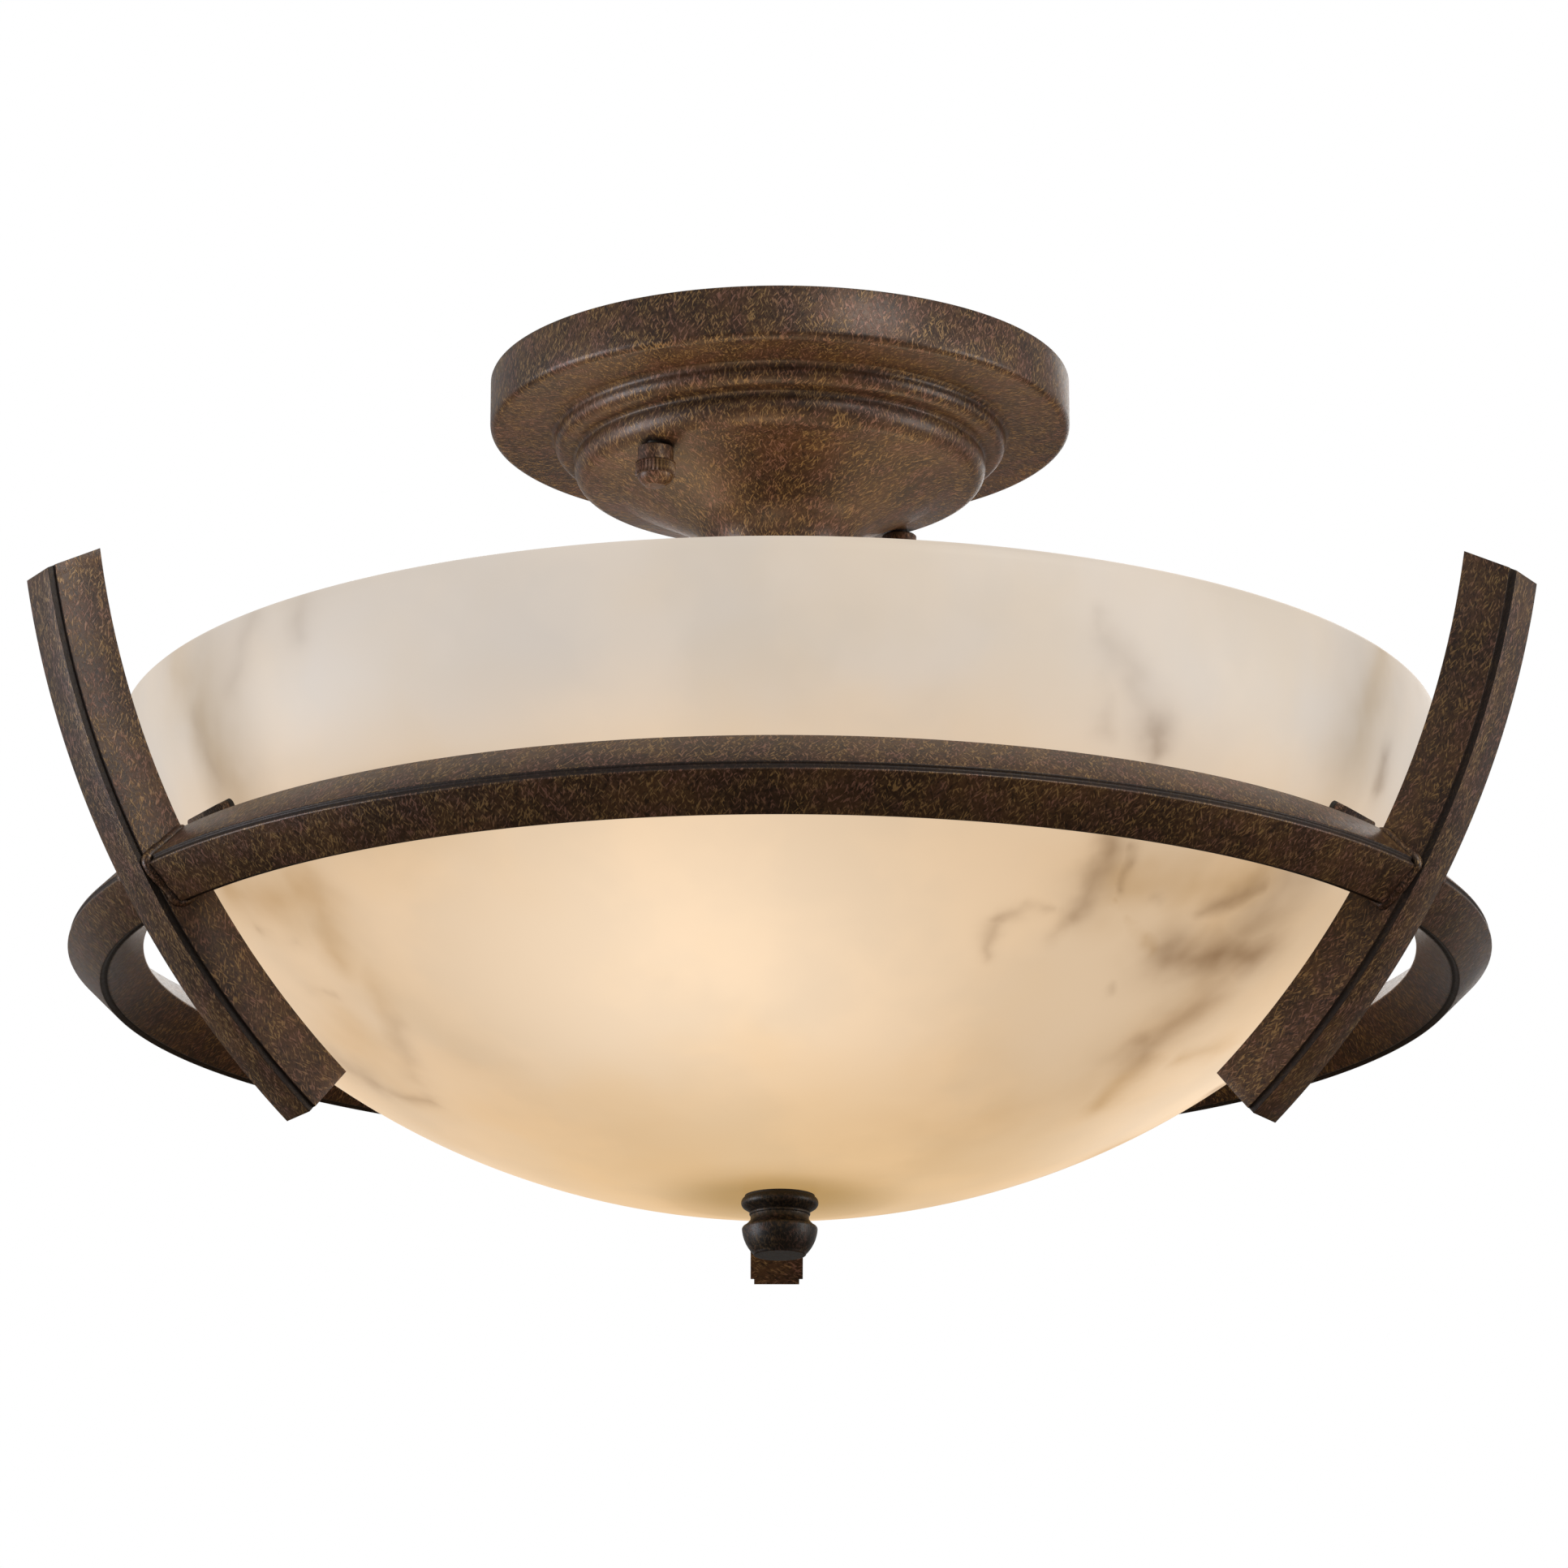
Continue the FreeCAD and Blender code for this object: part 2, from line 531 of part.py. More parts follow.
def hub():
    """Hollow cluster body with a slanted flat for each lamp socket."""
    wall_top = HUB_TOP_Z - HUB_WALL
    wall_end = HUB_END_Z + HUB_WALL
    body = turned([(0, HUB_END_Z), (HUB_RADIUS, HUB_END_Z), (HUB_RADIUS, HUB_TOP_Z - HUB_CORNER),
                   (HUB_RADIUS - HUB_CORNER, HUB_TOP_Z), (0, HUB_TOP_Z)])
    body = body.cut(Part.makeCylinder(HUB_CAVITY_RADIUS, wall_top - wall_end, V(0, 0, wall_end)))
    body = body.cut(Part.makeCylinder(NIPPLE_RADIUS + TURN_FIT, HUB_WALL, V(0, 0, wall_top)))
    body = body.cut(Part.makeCylinder(ROD_RADIUS + TURN_FIT, HUB_WALL, V(0, 0, HUB_END_Z)))
    reach = 2 * HUB_RADIUS
    flat = Part.makeBox(2 * reach, 2 * reach, reach, V(-reach, -reach, HUB_FLAT_DISTANCE))
    bore = Part.makeCylinder(TUBE_RADIUS + TURN_FIT, reach)
    for heading in LAMP_HEADINGS:
        body = body.cut(on_lamp_axis(flat, heading))
        body = body.cut(on_lamp_axis(bore, heading))
    return body


def socket_tube(heading):
    """Threaded tube that joins a socket to the hub and lets its leads through."""
    start = HUB_FLAT_DISTANCE - TUBE_INTO_HUB
    end = SOCKET_FLOOR_AT - TUBE_SHORT
    tube = ring_of(TUBE_RADIUS, TUBE_RADIUS - TUBE_WALL, end, start)
    return on_lamp_axis(tube, heading)


def lamp_socket(heading):
    """Glazed porcelain lampholder with its well for the screw shell."""
    tube = TUBE_RADIUS + TURN_FIT
    deep = SOCKET_FLOOR_AT - TUBE_SHORT
    back = SOCKET_BACK_ROUND
    body = turned([(tube, SOCKET_START), (SOCKET_RADIUS - back, SOCKET_START),
                   ((SOCKET_RADIUS - 0.3 * back, SOCKET_START + 0.3 * back),
                    (SOCKET_RADIUS, SOCKET_START + back)),
                   (SOCKET_RADIUS, SOCKET_END - SOCKET_LIP), (SOCKET_RADIUS - SOCKET_LIP, SOCKET_END),
                   (SOCKET_BORE_RADIUS, SOCKET_END), (SOCKET_BORE_RADIUS, SOCKET_FLOOR_AT),
                   (TAB_HOLE_RADIUS, SOCKET_FLOOR_AT), (TAB_HOLE_RADIUS, deep), (tube, deep)])
    return on_lamp_axis(body, heading)


def screw_shell(heading):
    """Thin threaded shell that takes the bulb's base."""
    start = SOCKET_FLOOR_AT + SHELL_START
    shell = ring_of(SHELL_RADIUS, SHELL_RADIUS - SHELL_WALL, start + SHELL_LENGTH, start)
    return on_lamp_axis(shell, heading)


def socket_contact(heading):
    """Centre contact on the socket's floor."""
    tab = ring_of(CONTACT_RADIUS, CONTACT_HOLE_RADIUS, CONTACT_END, SOCKET_FLOOR_AT)
    return on_lamp_axis(tab, heading)


def bulb_base(heading):
    """Medium screw base with rolled thread, insulator cone and tip."""
    tip = CONTACT_END + SOFT_GAP
    base_start = tip + BASE_TIP_LENGTH
    thread_start = base_start + BASE_PLAIN_START
    pitch = (BASE_LENGTH - BASE_PLAIN_START - BASE_PLAIN_END) / THREAD_TURNS
    root = BASE_RADIUS - THREAD_DEPTH
    points = [(0, tip), (BASE_TIP_RADIUS - BASE_TIP_CHAMFER, tip),
              (BASE_TIP_RADIUS, tip + BASE_TIP_CHAMFER), (root - BASE_STEP, base_start), (root, thread_start)]
    for turn in range(THREAD_TURNS):
        low = thread_start + turn * pitch
        points.append(((BASE_RADIUS, low + pitch / 2), (root, low + pitch)))
    points += [(root, BASE_END), (BULB_NECK_RADIUS - BULB_WALL, BASE_END),
               (0, BASE_END - BASE_CEMENT_DEPTH)]
    return on_lamp_axis(turned(points), heading)


def bulb_outline(wall):
    """Glass profile from neck to crown, drawn in by the wall for the inside."""
    neck = BULB_NECK_RADIUS - wall
    radius = BULB_RADIUS - wall
    centre = BASE_END + BULB_CENTRE
    start = math.radians(BULB_ROUND_START)
    crown = (radius * math.cos(start), centre + radius * math.sin(start))
    waist = BASE_END + BULB_WAIST * BULB_CENTRE
    middle = ((neck + crown[0]) / 2 - BULB_HOLLOW, (waist + crown[1]) / 2)
    return neck, waist, middle, crown, radius, centre


def bulb_glass(heading):
    """Pear-shaped frosted envelope."""
    neck, waist, middle, crown, radius, centre = bulb_outline(0.0)
    neck_in, waist_in, middle_in, crown_in, radius_in, centre_in = bulb_outline(BULB_WALL)
    points = [(neck_in, BASE_END), (neck, BASE_END), (neck, waist), (middle, crown),
              ((radius, centre), (0, centre + radius)), (0, centre_in + radius_in),
              ((radius_in, centre_in), crown_in), (middle_in, (neck_in, waist_in))]
    return on_lamp_axis(turned(points), heading)


def centre_rod():
    """Rod from the hub down to the finial, which carries the bowl."""
    top = HUB_END_Z + HUB_WALL
    return Part.makeCylinder(ROD_RADIUS, top - ROD_END_Z, V(0, 0, ROD_END_Z))


def rod_nut():
    """Jam nut under the hub."""
    return hexagon(ROD_NUT_FLATS, HUB_END_Z, HUB_END_Z - ROD_NUT_HEIGHT, ROD_RADIUS + TURN_FIT)


def stop_nut():
    """Nut on the rod that the glass is clamped against."""
    return hexagon(ROD_NUT_FLATS, STOP_NUT_Z + ROD_NUT_HEIGHT, STOP_NUT_Z, ROD_RADIUS + TURN_FIT)


# ---------------------------------------------------------------- glass bowl and what holds it
def bowl_skin(wall):
    """Bowl profile from its flat to its rim, drawn in by the wall for the inside."""
    belly = BOWL_BELLY_ARC - wall
    side = BOWL_SIDE_ARC - wall
    flat_z = BOWL_FLAT_Z + wall
    start = math.acos((BELLY_CENTRE_Z - flat_z) / belly)
    meet = math.asin(SIDE_CENTRE_RADIUS / ARC_STEP)
    rim = math.asin(BOWL_LIP / BOWL_SIDE_ARC)

    def on_belly(angle):
        return (belly * math.sin(angle), BELLY_CENTRE_Z - belly * math.cos(angle))

    def on_side(angle):
        return (SIDE_CENTRE_RADIUS + side * math.cos(angle), BOWL_WIDEST_Z + side * math.sin(angle))

    low = meet - math.pi / 2
    return [on_belly(start), (on_belly((start + meet) / 2), on_belly(meet)),
            (on_side((low + rim) / 2), on_side(rim))]


def bowl():
    """Pressed glass bowl with a flat and a hole for the rod, and three holes for the clips."""
    outer = bowl_skin(0.0)
    inner = bowl_skin(BOWL_WALL)
    rim_out = outer[-1][1]
    rim_in = inner[-1][1]
    lip = ((rim_out[0] + rim_in[0]) / 2, rim_out[1] + 0.35 * BOWL_WALL)
    points = [(BOWL_HOLE_RADIUS, BOWL_FLAT_Z)] + outer + [(lip, rim_in)] + backwards(inner)[1:]
    points += [(BOWL_HOLE_RADIUS, BOWL_FLOOR_Z)]
    glass = turned(points)
    drill = Part.makeCylinder(GLASS_HOLE_RADIUS, 3 * BOWL_WALL, V(0, 0, GLASS_AT_CLIP - 2 * BOWL_WALL))
    for heading in ARM_HEADINGS:
        glass = glass.cut(on_clip_axis(drill, heading))
    return glass


def soft_washer():
    """Rubber washer between the cup washer and the glass."""
    return ring_of(SOFT_WASHER_RADIUS, ROD_RADIUS + 4 * TURN_FIT, SOFT_WASHER_Z, BOWL_FLOOR_Z)


def cup_washer():
    """Steel washer that spreads the stop nut's load."""
    return ring_of(CUP_WASHER_RADIUS, ROD_RADIUS + 4 * TURN_FIT, CUP_WASHER_Z, SOFT_WASHER_Z)


def finial_washer():
    """Fibre washer between the glass and the finial."""
    end = BOWL_FLAT_Z - LOWER_WASHER_THICKNESS
    return ring_of(LOWER_WASHER_RADIUS, ROD_RADIUS + 4 * TURN_FIT, BOWL_FLAT_Z, end)


def finial():
    """Turned knob nut that carries the bowl."""
    flange_end = FINIAL_TOP_Z - FINIAL_FLANGE_HEIGHT
    waist_end = flange_end - FINIAL_WAIST_HEIGHT
    bulge = waist_end - FINIAL_SHOULDER_HEIGHT
    end = bulge - FINIAL_BODY_HEIGHT
    lip = FINIAL_LIP * FINIAL_FLANGE_HEIGHT
    waist = FINIAL_WAIST_RADIUS
    bead_end = flange_end - FINIAL_BEAD_HEIGHT
    side = (FINIAL_BULGE_RADIUS + FINIAL_END_RADIUS) / 2 + FINIAL_BODY_CROWN
    edge = FINIAL_FLANGE_RADIUS - FINIAL_EDGE
    knob = turned([(0, end), (FINIAL_END_RADIUS, end),
                   ((side, (bulge + end) / 2), (FINIAL_BULGE_RADIUS, bulge)),
                   (waist + FINIAL_FILLET, waist_end), (waist, waist_end + FINIAL_FILLET), (waist, bead_end),
                   ((waist + FINIAL_BEAD, (bead_end + flange_end) / 2), (waist, flange_end)),
                   (edge, FINIAL_TOP_Z - 1.6 * lip),
                   ((FINIAL_FLANGE_RADIUS, FINIAL_TOP_Z - 0.8 * lip), (edge, FINIAL_TOP_Z)),
                   (0, FINIAL_TOP_Z)])
    bore_depth = ROD_IN_FINIAL + FINIAL_BORE_SPARE
    bore = Part.makeCylinder(ROD_RADIUS + TURN_FIT, bore_depth, V(0, 0, FINIAL_TOP_Z - bore_depth))
    return knob.cut(bore)


# ---------------------------------------------------------------- cage
def arm_blank(start, span):
    """Length of bar bent round the arm's centre, along +X; degrees are counted down from level."""
    section = [V(ARM_CENTRE_X + ARM_INNER_ARC + out, across, ARM_CENTRE_Z) for across, out in bar_section()]
    face = Part.Face(Part.makePolygon(section + [section[0]]))
    centre = V(ARM_CENTRE_X, 0, ARM_CENTRE_Z)
    face.rotate(centre, V(0, 1, 0), start)
    return face.revolve(centre, V(0, 1, 0), span)


def arm(heading):
    """Bent square bar, cut square below and on a slant above."""
    top = ARM_LEAN - ARM_UP
    bar = arm_blank(top - ARM_SPARE, ARM_UP + ARM_DOWN + ARM_SPARE)
    corner = arc_point((ARM_CENTRE_X, ARM_CENTRE_Z), ARM_ARC, top)
    size = 4 * BAR_SIDE
    saw = Part.makeBox(2 * size, size, size, V(-size, -size / 2, 0))
    saw.rotate(V(0, 0, 0), V(0, 1, 0), ARM_TOP_CUT)
    saw.translate(V(corner[0], 0, corner[1]))
    return spin(bar.cut(saw), heading)


def ring_segments():
    """Three lengths of bar set on edge, cut to butt against the arms' sides."""
    centre_radius = RING_RADIUS - RING_HALF
    tilt = math.sqrt(0.5)
    points = []
    for across, out in bar_section():
        middle = out - BAR_SIDE / 2.0
        points.append((centre_radius + tilt * (across + middle), RING_Z + tilt * (across - middle)))
    hoop = turned(points)
    slot = Part.makeBox(4 * RING_HALF, BAR_SIDE, 4 * RING_HALF,
                        V(centre_radius - 2 * RING_HALF, -BAR_SIDE / 2, RING_Z - 2 * RING_HALF))
    for heading in ARM_HEADINGS:
        hoop = hoop.cut(spin(slot, heading))
    return hoop.Solids


def clip_patch(inside, outside, heading):
    """Plate that follows the glass between two distances outside it, cut square with round corners."""
    band = turned(bowl_skin(-outside) + backwards(bowl_skin(-inside)))
    block = Part.makeBox(CLIP_HEIGHT, CLIP_WIDTH, 2 * CLIP_HEIGHT,
                         V(-CLIP_HEIGHT / 2, -CLIP_WIDTH / 2, GLASS_AT_CLIP - CLIP_HEIGHT))
    corners = [edge for edge in block.Edges if edge.BoundBox.ZLength > CLIP_HEIGHT]
    return band.common(on_clip_axis(block.makeFillet(CLIP_CORNER, corners), heading))


def arm_reach():
    """Distance from the centre of the glass's arc out along a clip's axis to the arm's inner face."""
    slope = math.radians(CLIP_SLOPE)
    off_x = CLIP_CENTRE_RADIUS - ARM_CENTRE_X
    off_z = CLIP_CENTRE_Z - ARM_CENTRE_Z
    half = off_x * math.cos(slope) - off_z * math.sin(slope)
    return math.sqrt(half ** 2 + ARM_INNER_ARC ** 2 - off_x ** 2 - off_z ** 2) - half


def glass_pad(heading):
    """Rubber pad between a clip and the glass."""
    start = GLASS_AT_CLIP - PAD_END
    hole = Part.makeCylinder(CLIP_SCREW_RADIUS + TURN_FIT, PLATE_END + PAD_END, V(0, 0, start))
    return clip_patch(PAD_START, PAD_END, heading).cut(on_clip_axis(hole, heading))


def cage_clip(heading):
    """Plate with a tapped boss, which joins an arm to the glass."""
    plate = clip_patch(PLATE_START, PLATE_END, heading)
    boss_start = GLASS_AT_CLIP + (PLATE_START + PLATE_END) / 2
    boss = Part.makeCylinder(BOSS_RADIUS, arm_reach() + BOSS_RADIUS - boss_start, V(0, 0, boss_start))
    corner = V(ARM_CENTRE_X, -BAR_SIDE / 2, ARM_CENTRE_Z)
    keep = Part.makeCylinder(ARM_INNER_ARC, BAR_SIDE, corner, V(0, 1, 0))
    clip = plate.fuse(on_clip_axis(boss, heading).common(spin(keep, heading)))
    deep = CLIP_HOLE_END - GLASS_AT_CLIP
    hole = Part.makeCylinder(CLIP_SCREW_RADIUS + TURN_FIT, deep, V(0, 0, GLASS_AT_CLIP))
    return clip.cut(on_clip_axis(hole, heading))


def clip_screw(heading):
    """Slotted screw from inside the bowl into a clip's boss."""
    under = GROMMET_SEAT - GROMMET_FLANGE
    low = under - CLIP_HEAD_HEIGHT
    end = CLIP_HOLE_END - SCREW_TIP_ROOM
    screw = turned([(0, low), (0.55 * CLIP_HEAD_RADIUS, low),
                    ((0.86 * CLIP_HEAD_RADIUS, low + 0.35 * CLIP_HEAD_HEIGHT), (CLIP_HEAD_RADIUS, under)),
                    (CLIP_SCREW_RADIUS, under), (CLIP_SCREW_RADIUS, end), (0, end)])
    slot = Part.makeBox(2 * CLIP_HEAD_RADIUS, CLIP_SLOT, 0.4 * CLIP_HEAD_HEIGHT,
                        V(-CLIP_HEAD_RADIUS, -CLIP_SLOT / 2, low))
    return on_clip_axis(screw.cut(slot), heading)


def clip_grommet(heading):
    """Rubber flange and sleeve that keep the screw off the glass."""
    hole = CLIP_SCREW_RADIUS + TURN_FIT
    sleeve = GLASS_HOLE_RADIUS - SOFT_GAP
    sleeve_end = GLASS_AT_CLIP - SLEEVE_SHORT
    flange_end = GROMMET_SEAT - GROMMET_FLANGE
    grommet = turned([(hole, flange_end), (GROMMET_RADIUS, flange_end), (GROMMET_RADIUS, GROMMET_SEAT),
                      (sleeve, GROMMET_SEAT), (sleeve, sleeve_end), (hole, sleeve_end)])
    return on_clip_axis(grommet, heading)


# ---------------------------------------------------------------- assembly
def every_node():
    """Each sub-part by name."""
    places = screw_places()
    nodes = {
        "canopy": canopy(),
        "mounting_bar": mounting_bar(),
        "canopy_screws": Part.makeCompound(canopy_screws()),
        "bar_nuts": Part.makeCompound(bar_nuts()),
        "ground_screw": ground_screw(),
        "canopy_nut_near": canopy_nut(places[0]),
        "canopy_nut_far": canopy_nut(places[1]),
        "stem_nut": stem_nut(),
        "stem_lock_washer": stem_lock_washer(),
        "neck_collar": neck_collar(),
        "stem": stem(),
        "hub": hub(),
        "centre_rod": centre_rod(),
        "rod_nut": rod_nut(),
        "stop_nut": stop_nut(),
        "bowl": bowl(),
        "soft_washer": soft_washer(),
        "cup_washer": cup_washer(),
        "finial_washer": finial_washer(),
        "finial": finial(),
        "clip_screws": Part.makeCompound([clip_screw(heading) for heading in ARM_HEADINGS]),
        "clip_grommets": Part.makeCompound([clip_grommet(heading) for heading in ARM_HEADINGS]),
    }
    for number, heading in enumerate(LAMP_HEADINGS, 1):
        nodes[f"socket_tube_{number}"] = socket_tube(heading)
        nodes[f"lamp_socket_{number}"] = lamp_socket(heading)
        nodes[f"screw_shell_{number}"] = screw_shell(heading)
        nodes[f"socket_contact_{number}"] = socket_contact(heading)
        nodes[f"bulb_base_{number}"] = bulb_base(heading)
        nodes[f"bulb_glass_{number}"] = bulb_glass(heading)
    for number, heading in enumerate(ARM_HEADINGS, 1):
        nodes[f"arm_{number}"] = arm(heading)
        nodes[f"cage_clip_{number}"] = cage_clip(heading)
        nodes[f"glass_pad_{number}"] = glass_pad(heading)
    for number, segment in enumerate(ring_segments(), 1):
        nodes[f"ring_{number}"] = segment
    return nodes


def main():
    """Write one STEP file for each node."""
    os.makedirs("parts", exist_ok=True)
    for name, shape in every_node().items():
        solids = len(shape.Solids)
        if not shape.isValid() or solids == 0:
            print("bad shape", name, solids)
        shape.exportStep(f"parts/{name}.step")
        print(f"{name}: {solids} solid(s), {shape.Volume:.0f} mm3")


main()
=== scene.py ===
"""Looks of the semi flush ceiling light: bronze ironwork, marbled glass bowl, lamps and a studio."""
from __future__ import annotations

import logging
import math
import random
from dataclasses import dataclass
from enum import Enum
from typing import Callable, ClassVar, Sequence

import bpy
from mathutils import Matrix, Vector


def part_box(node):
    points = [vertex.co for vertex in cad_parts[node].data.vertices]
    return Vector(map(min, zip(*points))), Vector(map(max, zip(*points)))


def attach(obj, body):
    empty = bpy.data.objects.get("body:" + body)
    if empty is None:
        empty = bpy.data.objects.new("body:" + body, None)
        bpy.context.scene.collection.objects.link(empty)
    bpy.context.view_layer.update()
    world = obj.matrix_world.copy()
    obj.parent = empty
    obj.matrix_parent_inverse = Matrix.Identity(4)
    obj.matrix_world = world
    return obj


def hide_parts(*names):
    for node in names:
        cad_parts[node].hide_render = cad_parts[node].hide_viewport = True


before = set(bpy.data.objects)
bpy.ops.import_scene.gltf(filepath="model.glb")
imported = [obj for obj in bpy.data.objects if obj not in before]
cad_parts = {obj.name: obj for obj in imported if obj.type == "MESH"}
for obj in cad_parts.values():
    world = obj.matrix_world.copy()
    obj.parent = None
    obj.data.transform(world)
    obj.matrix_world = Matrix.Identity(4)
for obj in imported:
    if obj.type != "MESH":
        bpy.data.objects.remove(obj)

LOG = logging.getLogger("ceiling_light")
MM = 0.001
GRAIN_MAP = "grain"
GROOVE_SHADE_MASK = "groove"

Point = tuple[float, float]
Colour = tuple[float, float, float, float]


def tone(red: int, green: int, blue: int) -> Colour:
    """Linear colour of three screen values from 0 to 255.

    Args:
        red: screen value of red.
        green: screen value of green.
        blue: screen value of blue.

    Returns:
        The colour as a shader socket takes it.
    """
    def straight(value: int) -> float:
        """Undo the screen curve for one channel."""
        share = value / 255.0
        return share / 12.92 if share <= 0.04045 else ((share + 0.055) / 1.055) ** 2.4

    return (straight(red), straight(green), straight(blue), 1.0)


def along(heading: float) -> Vector:
    """Unit vector of a heading in degrees, measured from -Y towards +X."""
    angle = math.radians(heading)
    return Vector((math.sin(angle), -math.cos(angle), 0.0))


class Slot(Enum):
    """Material slot names that the finishes carry."""

    BRONZE = "bronze_finish"
    ZINC = "zinc_plate"
    GREEN = "green_screw"
    GLASS = "marbled_glass"
    RUBBER = "rubber"
    FIBRE = "fibre"
    PORCELAIN = "porcelain"
    BRASS = "brass_shell"
    CAP = "bulb_cap"
    BULB = "frosted_glass"


class Body(Enum):
    """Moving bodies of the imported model."""

    FIXTURE = "fixture"
    BOWL = "bowl_and_cage"
    FINIAL = "finial"
    NUT_NEAR = "nut_near"
    NUT_FAR = "nut_far"
    BULB_1 = "bulb_1"
    BULB_2 = "bulb_2"
    BULB_3 = "bulb_3"


# ------------------------------------------------------------------------------ shader wiring
class Wiring:
    """Adds nodes to one tree and joins them."""

    def __init__(self, tree: bpy.types.NodeTree) -> None:
        """Take the tree to work in."""
        self.tree = tree

    def node(self, kind: str, **settings: object) -> bpy.types.Node:
        """Add a node and set its properties.

        Args:
            kind: the node's type name.
            settings: properties of the node.

        Returns:
            The new node.
        """
        made = self.tree.nodes.new(kind)
        for name, value in settings.items():
            setattr(made, name, value)
        return made

    def feed(self, socket: bpy.types.NodeSocket, source: object) -> None:
        """Join a socket to another one, or set its value.

        Args:
            socket: the input that is fed.
            source: a socket, a value, or None to leave the input as it is.
        """
        if isinstance(source, bpy.types.NodeSocket):
            self.tree.links.new(source, socket)
        elif source is not None:
            socket.default_value = source

    def math(self, operation: str, *terms: object) -> bpy.types.NodeSocket:
        """Result of a Math node over the terms.

        Args:
            operation: what the node does.
            terms: its inputs, in order.

        Returns:
            The node's value.
        """
        made = self.node("ShaderNodeMath", operation=operation)
        for socket, term in zip(made.inputs, terms):
            self.feed(socket, term)
        return made.outputs[0]

    def vector(self, operation: str, *terms: object) -> bpy.types.NodeSocket:
        """Result of a Vector Math node: its value where the operation gives one.

        Args:
            operation: what the node does.
            terms: its inputs, in order.

        Returns:
            The node's value or vector.
        """
        made = self.node("ShaderNodeVectorMath", operation=operation)
        for socket, term in zip(made.inputs, terms):
            self.feed(socket, term)
        single = operation in {"DOT_PRODUCT", "LENGTH", "DISTANCE"}
        return made.outputs["Value" if single else "Vector"]

    def scaled(self, vector: object, factor: object) -> bpy.types.NodeSocket:
        """A vector times a number.

        Args:
            vector: what is scaled.
            factor: the number.

        Returns:
            The scaled vector.
        """
        made = self.node("ShaderNodeVectorMath", operation="SCALE")
        self.feed(made.inputs[0], vector)
        self.feed(made.inputs["Scale"], factor)
        return made.outputs["Vector"]

    def noise(self, place: object, scale: float, detail: float = 2.0, rough: float = 0.5,
              colour: bool = False) -> bpy.types.NodeSocket:
        """Noise over a place.

        Args:
            place: the vector socket that is read.
            scale: repeats in a unit of that vector.
            detail: octaves.
            rough: weight of each finer octave.
            colour: give three independent channels in place of one value.

        Returns:
            The noise node's value or colour.
        """
        made = self.node("ShaderNodeTexNoise")
        self.feed(made.inputs["Vector"], place)
        self.feed(made.inputs["Scale"], scale)
        self.feed(made.inputs["Detail"], detail)
        self.feed(made.inputs["Roughness"], rough)
        return made.outputs["Color" if colour else "Fac"]

    def span(self, value: object, low: object, high: object, start: float = 0.0,
             end: float = 1.0) -> bpy.types.NodeSocket:
        """Value moved smoothly from one range to another and held at its ends.

        Args:
            value: what is read.
            low: the value that gives the start.
            high: the value that gives the end.
            start: the result at the low value.
            end: the result at the high value.

        Returns:
            The moved value.
        """
        made = self.node("ShaderNodeMapRange", interpolation_type="SMOOTHSTEP")
        for name, source in (("Value", value), ("From Min", low), ("From Max", high),
                             ("To Min", start), ("To Max", end)):
            self.feed(made.inputs[name], source)
        return made.outputs["Result"]

    def mix(self, factor: object, first: object, second: object,
            blend: str = "MIX") -> bpy.types.NodeSocket:
        """Two colours mixed by a factor.

        Args:
            factor: share of the second colour.
            first: the first colour.
            second: the second colour.
            blend: how the second lies over the first.

        Returns:
            The mixed colour.
        """
        made = self.node("ShaderNodeMix", data_type="RGBA", blend_type=blend, clamp_factor=True)
        self.feed(made.inputs["Factor"], factor)
        colours = [socket for socket in made.inputs if socket.type == "RGBA"]
        self.feed(colours[0], first)
        self.feed(colours[1], second)
        return [socket for socket in made.outputs if socket.type == "RGBA"][0]

    def place(self) -> bpy.types.NodeSocket:
        """Object coordinates, in metres."""
        return self.node("ShaderNodeTexCoord").outputs["Object"]

    def height(self, place: object) -> bpy.types.NodeSocket:
        """Height of a place, in metres.

        Args:
            place: the vector socket that is read.

        Returns:
            Its Z channel.
        """
        split = self.node("ShaderNodeSeparateXYZ")
        self.feed(split.inputs[0], place)
        return split.outputs["Z"]

    def turned(self, place: object, degrees: tuple[float, float, float],
               scale: tuple[float, float, float]) -> bpy.types.NodeSocket:
        """A place turned by a Mapping node and then stretched along the turned axes.

        Args:
            place: the vector socket that is read.
            degrees: turn about each axis.
            scale: stretch along each turned axis.

        Returns:
            The turned place.
        """
        made = self.node("ShaderNodeMapping", vector_type="POINT")
        self.feed(made.inputs["Vector"], place)
        made.inputs["Rotation"].default_value = [math.radians(value) for value in degrees]
        return self.vector("MULTIPLY", made.outputs["Vector"], scale)

    def bump(self, height: object, strength: float, depth: float) -> bpy.types.NodeSocket:
        """Normal from a height map.

        Args:
            height: the height map.
            strength: how much of it shows.
            depth: the height of its full range, in metres.

        Returns:
            The bent normal.
        """
        made = self.node("ShaderNodeBump")
        made.inputs["Strength"].default_value = strength
        made.inputs["Distance"].default_value = depth
        self.feed(made.inputs["Height"], height)
        return made.outputs["Normal"]


@dataclass(frozen=True)
class Cloud:
    """Noise pulled to a soft mask: its repeats, octaves and roughness, and the band that it fades over."""

    scale: float
    detail: float
    rough: float
    low: float
    high: float

    def mask(self, wiring: Wiring, place: object) -> bpy.types.NodeSocket:
        """The mask over a place."""
        return wiring.span(wiring.noise(place, self.scale, self.detail, self.rough), self.low, self.high)


